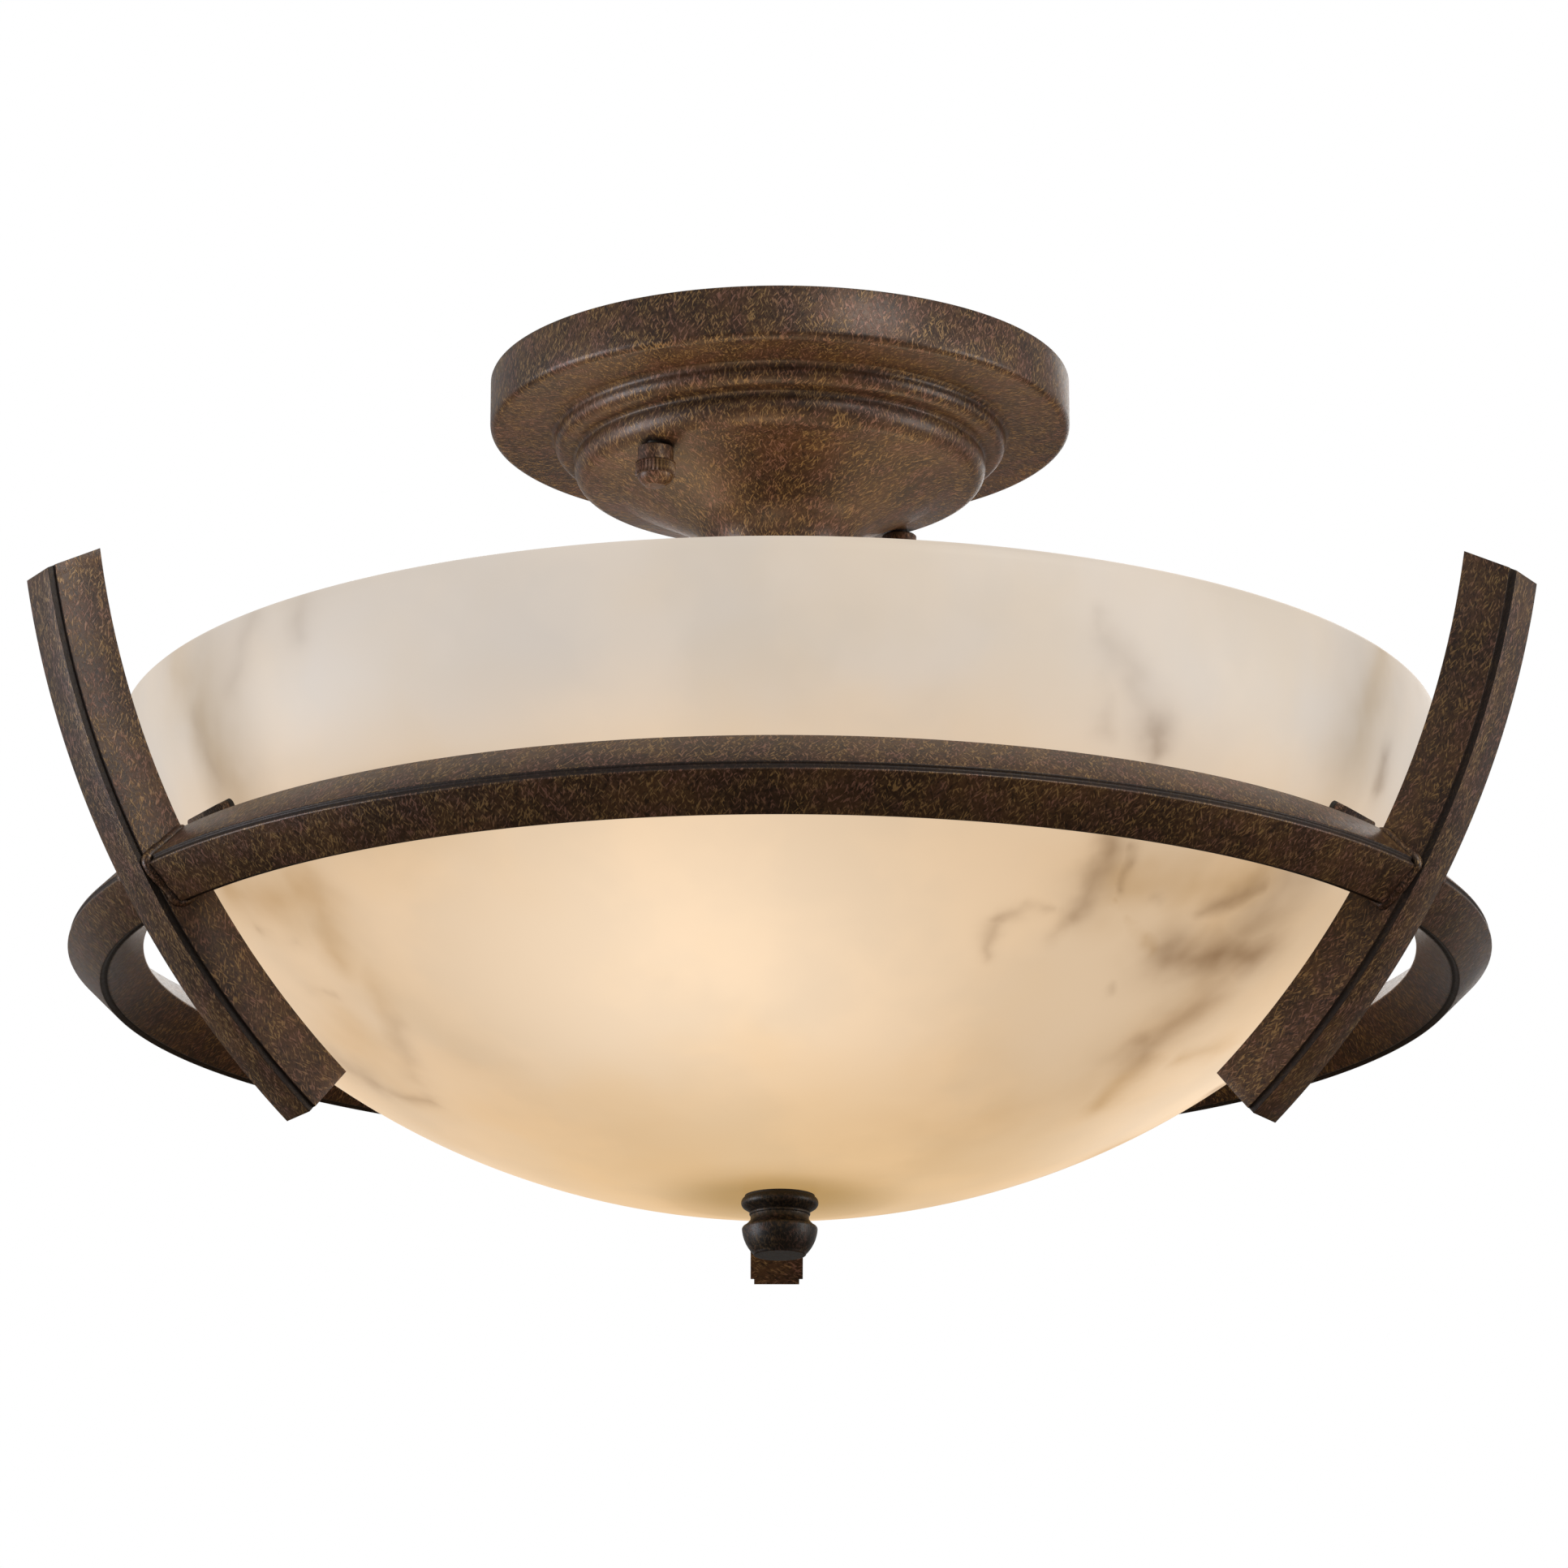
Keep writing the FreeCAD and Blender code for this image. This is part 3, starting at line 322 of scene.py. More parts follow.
class Effects:
    """Shader node groups that several finishes share, each built once."""

    made: dict[str, bpy.types.NodeTree] = {}

    @classmethod
    def group(cls, name: str, inputs: dict[str, tuple[str, object]], output: str,
              build: Callable[[Wiring, bpy.types.Node], bpy.types.NodeSocket]) -> bpy.types.NodeTree:
        """A node group by name, made when it is first asked for.

        Args:
            name: the group's name.
            inputs: socket name to its type and first value.
            output: the name of its one output, a number.
            build: wires the inside and returns the socket of the result.

        Returns:
            The node group.
        """
        if name in cls.made:
            return cls.made[name]
        tree = bpy.data.node_groups.new(name, "ShaderNodeTree")
        for label, (kind, value) in inputs.items():
            socket = tree.interface.new_socket(name=label, in_out="INPUT", socket_type=kind)
            if value is not None:
                socket.default_value = value
        tree.interface.new_socket(name=output, in_out="OUTPUT", socket_type="NodeSocketFloat")
        wiring = Wiring(tree)
        entry = wiring.node("NodeGroupInput")
        leave = wiring.node("NodeGroupOutput")
        wiring.feed(leave.inputs[0], build(wiring, entry))
        cls.made[name] = tree
        return tree

    @classmethod
    def use(cls, wiring: Wiring, tree: bpy.types.NodeTree, **values: object) -> bpy.types.NodeSocket:
        """Place a group in a material and give its inputs; returns its output.

        Args:
            wiring: the material's wiring.
            tree: the group.
            values: its inputs by name, with an underscore for a space.

        Returns:
            The group's output.
        """
        made = wiring.node("ShaderNodeGroup", node_tree=tree)
        for name, value in values.items():
            wiring.feed(made.inputs[name.replace("_", " ")], value)
        return made.outputs[0]

    @classmethod
    def hairs(cls) -> bpy.types.NodeTree:
        """Short fine strokes that stand nearly upright, as a dry brush leaves them.

        Returns:
            The group, with a mask as its output.
        """
        def build(wiring: Wiring, entry: bpy.types.Node) -> bpy.types.NodeSocket:
            """Lay three leaning sets of strokes over each other.

            Args:
                wiring: the group's wiring.
                entry: the node that brings the group's inputs.

            Returns:
                The mask of the strokes.
            """
            place = wiring.scaled(entry.outputs["Place"], entry.outputs["Scale"])
            leans = ((4.0, 14.0, 0.0), (-5.0, -21.0, 0.0), (7.0, 39.0, 0.0))
            total: object = 0.0
            for number, lean in enumerate(leans):
                shifted = wiring.vector("ADD", place, (3.1 * number, 7.7 * number, 1.3))
                stroke = wiring.noise(wiring.turned(shifted, lean, (1.0, 1.0, 0.2)), 1.0, 1.0)
                total = wiring.math("MAXIMUM", total, stroke)
            return wiring.span(total, entry.outputs["Low"], entry.outputs["High"])

        inputs = {"Place": ("NodeSocketVector", None), "Scale": ("NodeSocketFloat", 1500.0),
                  "Low": ("NodeSocketFloat", 0.6), "High": ("NodeSocketFloat", 0.75)}
        return cls.group("dry_brush_hairs", inputs, "Mask", build)

    @classmethod
    def stroke(cls) -> bpy.types.NodeTree:
        """Soft stroke between two ends, each with its own width.

        Returns:
            The group, with a mask as its output.
        """
        def build(wiring: Wiring, entry: bpy.types.Node) -> bpy.types.NodeSocket:
            """Fall off with the distance from the line between the ends.

            Args:
                wiring: the group's wiring.
                entry: the node that brings the group's inputs.

            Returns:
                The mask of the stroke.
            """
            out = entry.outputs
            run = wiring.vector("SUBTRACT", out["End"], out["Start"])
            offset = wiring.vector("SUBTRACT", out["Place"], out["Start"])
            share = wiring.math("DIVIDE", wiring.vector("DOT_PRODUCT", offset, run),
                                wiring.vector("DOT_PRODUCT", run, run))
            share = wiring.math("MINIMUM", wiring.math("MAXIMUM", share, 0.0), 1.0)
            away = wiring.vector("DISTANCE", offset, wiring.scaled(run, share))
            growth = wiring.math("SUBTRACT", out["End Width"], out["Start Width"])
            width = wiring.math("MULTIPLY_ADD", growth, share, out["Start Width"])
            reach = wiring.math("POWER", wiring.math("DIVIDE", away, width), 1.5)
            fall = wiring.math("EXPONENT", wiring.math("MULTIPLY", reach, -1.0))
            return wiring.math("MULTIPLY", fall, out["Strength"])

        inputs = {"Place": ("NodeSocketVector", None), "Start": ("NodeSocketVector", None),
                  "End": ("NodeSocketVector", None), "Start Width": ("NodeSocketFloat", 0.004),
                  "End Width": ("NodeSocketFloat", 0.004), "Strength": ("NodeSocketFloat", 1.0)}
        return cls.group("vein_stroke", inputs, "Mask", build)

    @classmethod
    def shade_and_grime(cls) -> bpy.types.NodeTree:
        """Painted shade and grime: darkening in hollows, read from ambient occlusion and broken up by
        noise.

        Returns:
            The group, with a mask as its output.
        """
        def build(wiring: Wiring, entry: bpy.types.Node) -> bpy.types.NodeSocket:
            """Read how closed in the surface is.

            Args:
                wiring: the group's wiring.
                entry: the node that brings the group's inputs.

            Returns:
                The mask of the painted shade and grime in the hollows.
            """
            # Painted shade: ambient occlusion darkens what is closed in, where shade falls.
            shade = wiring.node("ShaderNodeAmbientOcclusion", samples=6)
            wiring.feed(shade.inputs["Distance"], entry.outputs["Reach"])
            closed = wiring.math("SUBTRACT", 1.0, shade.outputs["AO"])
            cloud = wiring.noise(entry.outputs["Place"], 400.0, 3.0)
            return wiring.span(wiring.math("MULTIPLY", closed, wiring.math("ADD", cloud, 0.6)), 0.1, 0.7)

        inputs = {"Place": ("NodeSocketVector", None), "Reach": ("NodeSocketFloat", 0.003)}
        return cls.group("shade_and_grime_in_hollows", inputs, "Mask", build)


# ------------------------------------------------------------------------------ finishes
class Finish:
    """A material that is built when first asked for and then shared."""

    name = "finish"
    slot = Slot.BRONZE
    made: ClassVar[dict[str, bpy.types.Material]] = {}

    def material(self) -> bpy.types.Material:
        """The finish as a material.

        Returns:
            The material, the same one each time.
        """
        if self.name in self.made:
            return self.made[self.name]
        made = bpy.data.materials.new(self.name)
        self.made[self.name] = made
        made.use_nodes = True
        made.node_tree.nodes.clear()
        wiring = Wiring(made.node_tree)
        shader = wiring.node("ShaderNodeBsdfPrincipled")
        output = wiring.node("ShaderNodeOutputMaterial")
        wiring.feed(output.inputs["Surface"], shader.outputs["BSDF"])
        self.wire(wiring, shader)
        return made

    def wire(self, wiring: Wiring, shader: bpy.types.Node) -> None:
        """Feed the shader; each finish does this in its own way."""
        raise NotImplementedError


@dataclass(frozen=True)
class BronzePaint(Finish):
    """Dark bronze paint with a dry brushed glaze of short lighter hairs."""

    name: str = "bronze_paint"
    slot: Slot = Slot.BRONZE
    ground: Colour = tone(54, 35, 22)
    cloud: Colour = tone(80, 54, 33)
    hair: Colour = tone(166, 132, 84)
    rosy_hair: Colour = tone(150, 108, 91)
    # Dark streak colour, also used for the painted shade in hollows and grooves.
    shadow: Colour = tone(24, 15, 11)
    clouding: Cloud = Cloud(60.0, 4.0, 0.6, 0.36, 0.68)
    speckle: Cloud = Cloud(1100.0, 3.0, 0.65, 0.45, 0.7)
    patching: Cloud = Cloud(130.0, 3.0, 0.6, 0.42, 0.62)
    hair_scale: float = 2500.0
    hair_share: float = 0.64
    hair_band: Point = (0.60, 0.71)
    dark_scale: float = 0.7
    dark_share: float = 0.7
    dark_band: Point = (0.60, 0.72)
    speck_share: float = 0.16
    # Share and reach of the painted shade with grime in hollows and grooves.
    shade_and_grime_share: float = 0.85
    shade_and_grime_reach: float = 0.0035
    follows_grain: bool = True
    metal: float = 0.2
    rough: float = 0.38

    def brushed(self, wiring: Wiring, place: bpy.types.NodeSocket) -> bpy.types.NodeSocket:
        """Place that the hairs read, with the brush's way along its Z axis.

        Args:
            wiring: the material's wiring.
            place: where on the piece.

        Returns:
            The place, laid along the brush.
        """
        if not self.follows_grain:
            return place
        split = wiring.node("ShaderNodeSeparateXYZ")
        wiring.feed(split.inputs[0], wiring.node("ShaderNodeUVMap", uv_map=GRAIN_MAP).outputs["UV"])
        laid = wiring.node("ShaderNodeCombineXYZ")
        wiring.feed(laid.inputs["X"], split.outputs["X"])
        wiring.feed(laid.inputs["Z"], split.outputs["Y"])
        return laid.outputs["Vector"]

    @staticmethod
    def hairs(wiring: Wiring, place: object, scale: float, band: Point) -> bpy.types.NodeSocket:
        """Mask of brushed hairs over a place, which fades over a band."""
        return Effects.use(wiring, Effects.hairs(), Place=place, Scale=scale, Low=band[0], High=band[1])

    def wire(self, wiring: Wiring, shader: bpy.types.Node) -> None:
        """Ground, clouds, hairs, and painted shade with grime in hollows and grooves, with the gloss
        following them.

        Args:
            wiring: the material's wiring.
            shader: the shader that is fed.
        """
        place = wiring.place()
        brushed = self.brushed(wiring, place)
        specks = self.speckle.mask(wiring, place)
        light = self.hairs(wiring, brushed, self.hair_scale, self.hair_band)
        dark_place = wiring.vector("ADD", brushed, (0.37, 0.11, 0.23))
        dark = self.hairs(wiring, dark_place, self.dark_scale * self.hair_scale, self.dark_band)
        # Painted shade with grime in hollows, and painted shade on the groove faces that the groove mask
        # marks.
        shade_and_grime = Effects.use(wiring, Effects.shade_and_grime(), Place=place, Reach=self.shade_and_grime_reach)
        groove = wiring.node("ShaderNodeAttribute", attribute_name=GROOVE_SHADE_MASK).outputs["Fac"]
        shade_and_grime = wiring.math("MAXIMUM", shade_and_grime, groove)
        glaze = wiring.mix(self.patching.mask(wiring, place), self.hair, self.rosy_hair)
        colour = wiring.mix(self.clouding.mask(wiring, place), self.ground, self.cloud)
        for mask, share, paint in ((dark, self.dark_share, self.shadow), (specks, self.speck_share, glaze),
                                   (light, self.hair_share, glaze), (shade_and_grime, self.shade_and_grime_share, self.shadow)):
            colour = wiring.mix(wiring.math("MULTIPLY", mask, share), colour, paint)
        wiring.feed(shader.inputs["Base Color"], colour)
        gloss = wiring.math("MULTIPLY_ADD", specks, 0.14, self.rough)
        wiring.feed(shader.inputs["Roughness"], wiring.math("MULTIPLY_ADD", shade_and_grime, 0.2, gloss))
        shader.inputs["Metallic"].default_value = self.metal
        shader.inputs["Specular IOR Level"].default_value = 0.4
        shader.inputs["Coat Weight"].default_value = 0.12
        shader.inputs["Coat Roughness"].default_value = 0.3
        height = wiring.math("MULTIPLY_ADD", light, 0.6, wiring.math("MULTIPLY", specks, 0.4))
        wiring.feed(shader.inputs["Normal"], wiring.bump(height, 0.25, 0.0002))


class VeinTone(Enum):
    """Colours that a vein in the glass can have."""

    TAN = "tan"
    BROWN = "brown"
    GREY = "grey"


@dataclass(frozen=True)
class Vein:
    """One soft stroke of colour on the outside of the bowl, from one heading and height to another."""

    start: Point
    end: Point
    start_width: float
    end_width: float
    strength: float
    tone: VeinTone


@dataclass(frozen=True)
class MarbledGlass(Finish):
    """Cream satin glass, lit from inside, with tan clouds and brown veins."""

    name: str = "lit_marbled_glass"
    slot: Slot = Slot.GLASS
    cream: Colour = tone(240, 232, 222)
    warm: Colour = tone(240, 224, 200)
    tan: Colour = tone(194, 169, 128)
    brown: Colour = tone(142, 119, 96)
    grey: Colour = tone(184, 170, 156)
    rim_light: Colour = (0.66, 0.62, 0.585, 1.0)
    side_light: Colour = (0.82, 0.64, 0.45, 1.0)
    foot_light: Colour = (0.89, 0.64, 0.36, 1.0)
    lamp_light: Colour = (1.10, 0.90, 0.68, 1.0)
    fog: Colour = (0.89, 0.915, 0.95, 1.0)
    # Darker, browner light round the finial: painted shade.
    hole_light: Colour = (0.54, 0.36, 0.15, 1.0)
    unlit: Colour = tone(120, 120, 120)
    glow_headings: tuple[float, ...] = (-11.0, 105.0, 225.0)
    glow_height: float = -171.0
    glow_reach: float = 0.085
    side_band: Point = (-0.108, -0.152)
    foot_band: Point = (-0.180, -0.203)
    foot_share: float = 0.8
    hole_height: float = -204.0
    hole_band: Point = (0.036, 0.010)
    clouding: Cloud = Cloud(16.0, 3.0, 0.5, 0.42, 0.72)
    cloud_share: float = 0.5
    fogging: Cloud = Cloud(20.0, 4.0, 0.5, 0.38, 0.60)
    fog_share: float = 0.7
    drifts: tuple[Point, ...] = ((26.0, 0.012), (90.0, 0.005), (190.0, 0.0022))
    # Marks that show from the front: heading in degrees and height in millimetres.
    veins: tuple[Vein, ...] = (
        Vein((32.5, -146.5), (32.0, -158.5), 3.8, 3.6, 0.65, VeinTone.BROWN),
        Vein((32.0, -158.5), (31.0, -164.5), 3.0, 1.8, 0.42, VeinTone.BROWN),
        Vein((29.0, -159.0), (23.5, -162.0), 1.4, 2.0, 0.45, VeinTone.BROWN),
        Vein((23.5, -163.0), (24.5, -168.0), 2.6, 1.6, 0.35, VeinTone.BROWN),
        Vein((34.5, -145.5), (35.5, -152.5), 1.8, 1.4, 0.50, VeinTone.BROWN),
        Vein((35.0, -151.0), (53.0, -146.0), 9.0, 9.0, 0.60, VeinTone.TAN),
        Vein((47.5, -154.0), (53.5, -146.0), 2.8, 3.2, 0.60, VeinTone.BROWN),
        Vein((57.0, -158.5), (57.5, -144.0), 8.5, 9.5, 0.45, VeinTone.BROWN),
        Vein((48.0, -162.0), (60.5, -158.5), 7.0, 7.0, 0.85, VeinTone.BROWN),
        Vein((35.5, -154.5), (45.0, -162.0), 2.0, 2.6, 0.50, VeinTone.TAN),
        Vein((59.5, -161.5), (60.0, -175.5), 9.0, 7.0, 0.50, VeinTone.BROWN),
        Vein((58.0, -175.0), (63.0, -178.5), 5.5, 5.0, 0.50, VeinTone.BROWN),
        Vein((63.0, -178.5), (69.0, -185.5), 6.5, 5.0, 0.60, VeinTone.TAN),
        Vein((75.5, -171.0), (70.5, -174.5), 5.0, 4.0, 0.50, VeinTone.TAN),
        Vein((44.0, -170.0), (44.5, -170.5), 1.7, 1.7, 0.35, VeinTone.BROWN),
        Vein((41.0, -152.5), (41.5, -153.0), 1.8, 1.6, 0.45, VeinTone.BROWN),
        # Broad soft tan patch low on the right: painted shade, the bowl darker there.
        Vein((43.5, -193.0), (59.5, -185.0), 22.0, 15.0, 0.25, VeinTone.TAN),
        Vein((-65.5, -143.0), (-53.0, -148.5), 7.5, 8.0, 0.65, VeinTone.TAN),
        Vein((-52.0, -146.5), (-57.0, -159.5), 7.0, 4.5, 0.45, VeinTone.TAN),
        Vein((-66.0, -151.5), (-62.0, -154.0), 1.7, 1.2, 0.30, VeinTone.BROWN),
        Vein((-69.0, -161.5), (-64.0, -164.5), 1.8, 1.3, 0.30, VeinTone.BROWN),
        Vein((-55.0, -165.5), (-62.5, -173.5), 4.0, 5.0, 0.35, VeinTone.TAN),
        Vein((-58.5, -172.0), (-70.0, -178.5), 3.2, 3.6, 0.40, VeinTone.GREY),
        Vein((-82.0, -172.5), (-83.0, -176.0), 5.5, 4.0, 0.55, VeinTone.BROWN),
        Vein((-83.0, -176.0), (-74.5, -182.0), 4.0, 2.5, 0.35, VeinTone.BROWN),
        Vein((-68.0, -169.0), (-72.5, -172.5), 12.0, 13.0, 0.30, VeinTone.TAN),
        Vein((-51.5, -182.5), (-46.0, -183.5), 10.0, 10.0, 0.10, VeinTone.TAN),
        Vein((-59.0, -189.0), (-44.5, -194.5), 15.0, 15.0, 0.08, VeinTone.TAN),
        Vein((47.0, -153.0), (58.0, -158.0), 16.0, 17.0, 0.35, VeinTone.TAN),
        Vein((58.0, -160.0), (60.0, -177.0), 15.0, 12.0, 0.32, VeinTone.TAN),
        Vein((34.0, -148.0), (36.0, -158.0), 9.0, 8.0, 0.25, VeinTone.TAN),
        Vein((26.5, -102.5), (28.0, -126.5), 2.0, 2.6, 0.45, VeinTone.GREY),
        Vein((27.5, -108.5), (32.5, -124.0), 4.0, 5.2, 0.50, VeinTone.GREY),
        Vein((32.0, -123.0), (33.5, -128.0), 2.4, 2.6, 0.50, VeinTone.BROWN),
        Vein((60.5, -91.5), (57.5, -119.0), 9.5, 7.5, 0.50, VeinTone.TAN),
        Vein((70.0, -92.5), (68.5, -102.0), 2.0, 1.6, 0.40, VeinTone.BROWN),
        Vein((64.0, -114.5), (63.5, -121.0), 3.2, 2.8, 0.50, VeinTone.BROWN),
        Vein((-61.5, -92.5), (-57.5, -104.5), 9.0, 9.0, 0.40, VeinTone.TAN),
        Vein((-57.5, -104.5), (-55.5, -124.5), 9.0, 11.0, 0.50, VeinTone.TAN),
        Vein((-58.5, -105.5), (-57.5, -122.0), 2.8, 3.2, 0.20, VeinTone.BROWN),
        Vein((-43.0, -92.0), (-43.0, -97.0), 5.0, 4.0, 0.35, VeinTone.GREY),
        Vein((-48.5, -92.0), (-52.0, -102.5), 4.2, 3.0, 0.30, VeinTone.GREY),
    )
    back_clusters: int = 7
    back_start: float = 104.0
    back_sweep: float = 155.0
    back_heights: tuple[float, ...] = (-104.0, -118.0, -150.0, -165.0, -178.0)
    seed: int = 11

    def wire(self, wiring: Wiring, shader: bpy.types.Node) -> None:
        """Clouds and veins give the colour; the lamps' glow gives the emission.

        Args:
            wiring: the material's wiring.
            shader: the shader that is fed.
        """
        place = wiring.place()
        warped = place
        for scale, reach in self.drifts:
            drift = wiring.noise(place, scale, 2.0, 0.5, colour=True)
            centred = wiring.vector("SUBTRACT", drift, (0.5, 0.5, 0.5))
            warped = wiring.vector("ADD", warped, wiring.scaled(centred, reach))
        wisps = wiring.span(wiring.noise(place, 62.0, 2.0, 0.5), 0.30, 0.65, 0.6, 1.0)
        masks: dict[VeinTone, object] = {kind: 0.0 for kind in VeinTone}
        for vein in self.veins + self.scattered():
            mask = Effects.use(wiring, Effects.stroke(), Place=warped, Start=self.lie(vein.start),
                               End=self.lie(vein.end), Start_Width=vein.start_width * MM,
                               End_Width=vein.end_width * MM, Strength=vein.strength)
            masks[vein.tone] = wiring.math("MAXIMUM", masks[vein.tone], mask)
        clouds = self.clouding.mask(wiring, warped)
        colour = wiring.mix(wiring.math("MULTIPLY", clouds, self.cloud_share), self.cream, self.warm)
        paints = {VeinTone.GREY: self.grey, VeinTone.TAN: self.tan, VeinTone.BROWN: self.brown}
        for kind, paint in paints.items():
            colour = wiring.mix(wiring.math("MULTIPLY", masks[kind], wisps), colour, paint)
        wiring.feed(shader.inputs["Base Color"], wiring.mix(1.0, colour, self.unlit, "MULTIPLY"))
        light = self.glow(wiring, place, warped)
        wiring.feed(shader.inputs["Emission Color"], wiring.mix(1.0, colour, light, "MULTIPLY"))
        shader.inputs["Emission Strength"].default_value = 1.0
        shader.inputs["Roughness"].default_value = 0.45
        shader.inputs["Specular IOR Level"].default_value = 0.3

    def glow(self, wiring: Wiring, place: bpy.types.NodeSocket,
             warped: bpy.types.NodeSocket) -> bpy.types.NodeSocket:
        """Colour of the light that comes through the glass at a place.

        Args:
            wiring: the material's wiring.
            place: where on the glass.
            warped: the same place, drifted as the veins are.

        Returns:
            The light's colour, with fog in it.
        """
        height = wiring.height(place)
        light = wiring.mix(wiring.span(height, *self.side_band), self.rim_light, self.side_light)
        for heading in self.glow_headings:
            distance = wiring.vector("DISTANCE", place, self.lie((heading, self.glow_height)))
            light = wiring.mix(wiring.span(distance, self.glow_reach, 0.0), light, self.lamp_light)
        foot = wiring.math("MULTIPLY", wiring.span(height, *self.foot_band), self.foot_share)
        light = wiring.mix(foot, light, self.foot_light)
        # Painted shade: the light through the glass turns darker and browner round the finial.
        hole = wiring.vector("DISTANCE", place, Vector((0.0, 0.0, self.hole_height)) * MM)
        light = wiring.mix(wiring.span(hole, *self.hole_band), light, self.hole_light)
        fog = self.fogging.mask(wiring, wiring.vector("ADD", warped, (0.4, 0.9, 0.2)))
        fogged = wiring.mix(1.0, light, self.fog, "MULTIPLY")
        return wiring.mix(wiring.math("MULTIPLY", fog, self.fog_share), light, fogged)

    def scattered(self) -> tuple[Vein, ...]:
        """Marks for the sides that the front doesn't show: tan clouds, each with veins round it.

        Returns:
            The marks, the same ones each time.
        """
        draw = random.Random(self.seed)
        marks = []
        for number in range(self.back_clusters):
            share = number / (self.back_clusters - 1)
            heading = self.back_start + self.back_sweep * share + draw.uniform(-6.0, 6.0)
            height = draw.choice(self.back_heights) + draw.uniform(-5.0, 5.0)
            lean = draw.uniform(-9.0, 9.0)
            start = (heading, height + 8.0)
            end = (heading + lean, height - 10.0)
            marks.append(Vein(start, end, draw.uniform(5.0, 9.0), draw.uniform(6.0, 10.0),
                              draw.uniform(0.5, 0.8), VeinTone.TAN))
            for _ in range(3):
                start = (heading + draw.uniform(-7.0, 7.0), height + draw.uniform(-9.0, 9.0))
                end = (start[0] + draw.uniform(-8.0, 8.0), start[1] - draw.uniform(2.0, 12.0))
                marks.append(Vein(start, end, draw.uniform(2.0, 6.0), draw.uniform(1.4, 4.0),
                                  draw.uniform(0.3, 0.65), VeinTone.BROWN))
        return tuple(marks)

    @staticmethod
    def lie(place: Point) -> Vector:
        """Place on the outside of the bowl, from its heading and height."""
        return BowlShape().point(place[0], place[1])


@dataclass(frozen=True)
class PlatedSteel(Finish):
    """Plated or rolled metal with fine scratches and faint clouds."""

    name: str = "zinc_plating"
    slot: Slot = Slot.ZINC
    bright: Colour = tone(196, 198, 200)
    dull: Colour = tone(150, 152, 156)
    clouding: Cloud = Cloud(220.0, 4.0, 0.5, 0.35, 0.7)
    scratch_turn: tuple[float, float, float] = (20.0, 35.0, 10.0)
    scratch_scale: tuple[float, float, float] = (3000.0, 3000.0, 120.0)
    rough: float = 0.3

    def wire(self, wiring: Wiring, shader: bpy.types.Node) -> None:
        """Clouded metal with scratches in its gloss.

        Args:
            wiring: the material's wiring.
            shader: the shader that is fed.
        """
        place = wiring.place()
        clouds = self.clouding.mask(wiring, place)
        scratches = wiring.noise(wiring.turned(place, self.scratch_turn, self.scratch_scale), 1.0, 2.0)
        gloss = wiring.math("MULTIPLY_ADD", scratches, 0.25, self.rough - 0.1)
        wiring.feed(shader.inputs["Base Color"], wiring.mix(clouds, self.bright, self.dull))
        wiring.feed(shader.inputs["Roughness"], gloss)
        shader.inputs["Metallic"].default_value = 1.0
        wiring.feed(shader.inputs["Normal"], wiring.bump(scratches, 0.1, 0.0001))


@dataclass(frozen=True)
class PlainSkin(Finish):
    """Ceramic, rubber, fibre or paint: a colour with soft clouds and a fine grain."""

    name: str = "glazed_porcelain"
    slot: Slot = Slot.PORCELAIN
    colour: Colour = tone(240, 238, 230)
    second: Colour = tone(222, 218, 206)
    clouding: Cloud = Cloud(90.0, 3.0, 0.5, 0.4, 0.7)
    rough: float = 0.15
    grain: float = 600.0
    coat: float = 0.0
    metal: float = 0.0

    def wire(self, wiring: Wiring, shader: bpy.types.Node) -> None:
        """Clouds in the colour and grain in the gloss.

        Args:
            wiring: the material's wiring.
            shader: the shader that is fed.
        """
        place = wiring.place()
        clouds = self.clouding.mask(wiring, place)
        grain = wiring.noise(place, self.grain, 3.0, 0.6)
        wiring.feed(shader.inputs["Base Color"], wiring.mix(clouds, self.colour, self.second))
        wiring.feed(shader.inputs["Roughness"], wiring.math("MULTIPLY_ADD", grain, 0.2, self.rough))
        shader.inputs["Metallic"].default_value = self.metal
        shader.inputs["Coat Weight"].default_value = self.coat
        wiring.feed(shader.inputs["Normal"], wiring.bump(grain, 0.12, 0.0001))


@dataclass(frozen=True)
class LitBulb(Finish):
    """Frosted envelope of a lamp that is on, dimmer towards its neck."""

    name: str = "lit_bulb"
    slot: Slot = Slot.BULB
    crown: Colour = (0.80, 0.66, 0.44, 1.0)
    neck: Colour = (0.46, 0.32, 0.17, 1.0)
    cast: Colour = (4.5, 3.6, 2.4, 1.0)
    neck_height: float = -0.105
    crown_height: float = -0.135

    def wire(self, wiring: Wiring, shader: bpy.types.Node) -> None:
        """Glow with a faint frosting, plain to look at and strong in what it lights.

        Args:
            wiring: the material's wiring.
            shader: the shader that is fed.
        """
        place = wiring.place()
        frost = wiring.noise(place, 1400.0, 2.0)
        low = wiring.span(wiring.height(place), self.neck_height, self.crown_height)
        seen = wiring.node("ShaderNodeLightPath").outputs["Is Camera Ray"]
        skin = wiring.mix(wiring.math("MULTIPLY_ADD", frost, 0.1, low), self.neck, self.crown)
        shader.inputs["Base Color"].default_value = tone(150, 146, 138)
        wiring.feed(shader.inputs["Emission Color"], wiring.mix(seen, self.cast, skin))
        shader.inputs["Emission Strength"].default_value = 1.0
        wiring.feed(shader.inputs["Roughness"], wiring.math("MULTIPLY_ADD", frost, 0.2, 0.45))


BRONZE = BronzePaint()
BRONZE_PLAIN = BronzePaint(name="bronze_paint_plain", follows_grain=False)
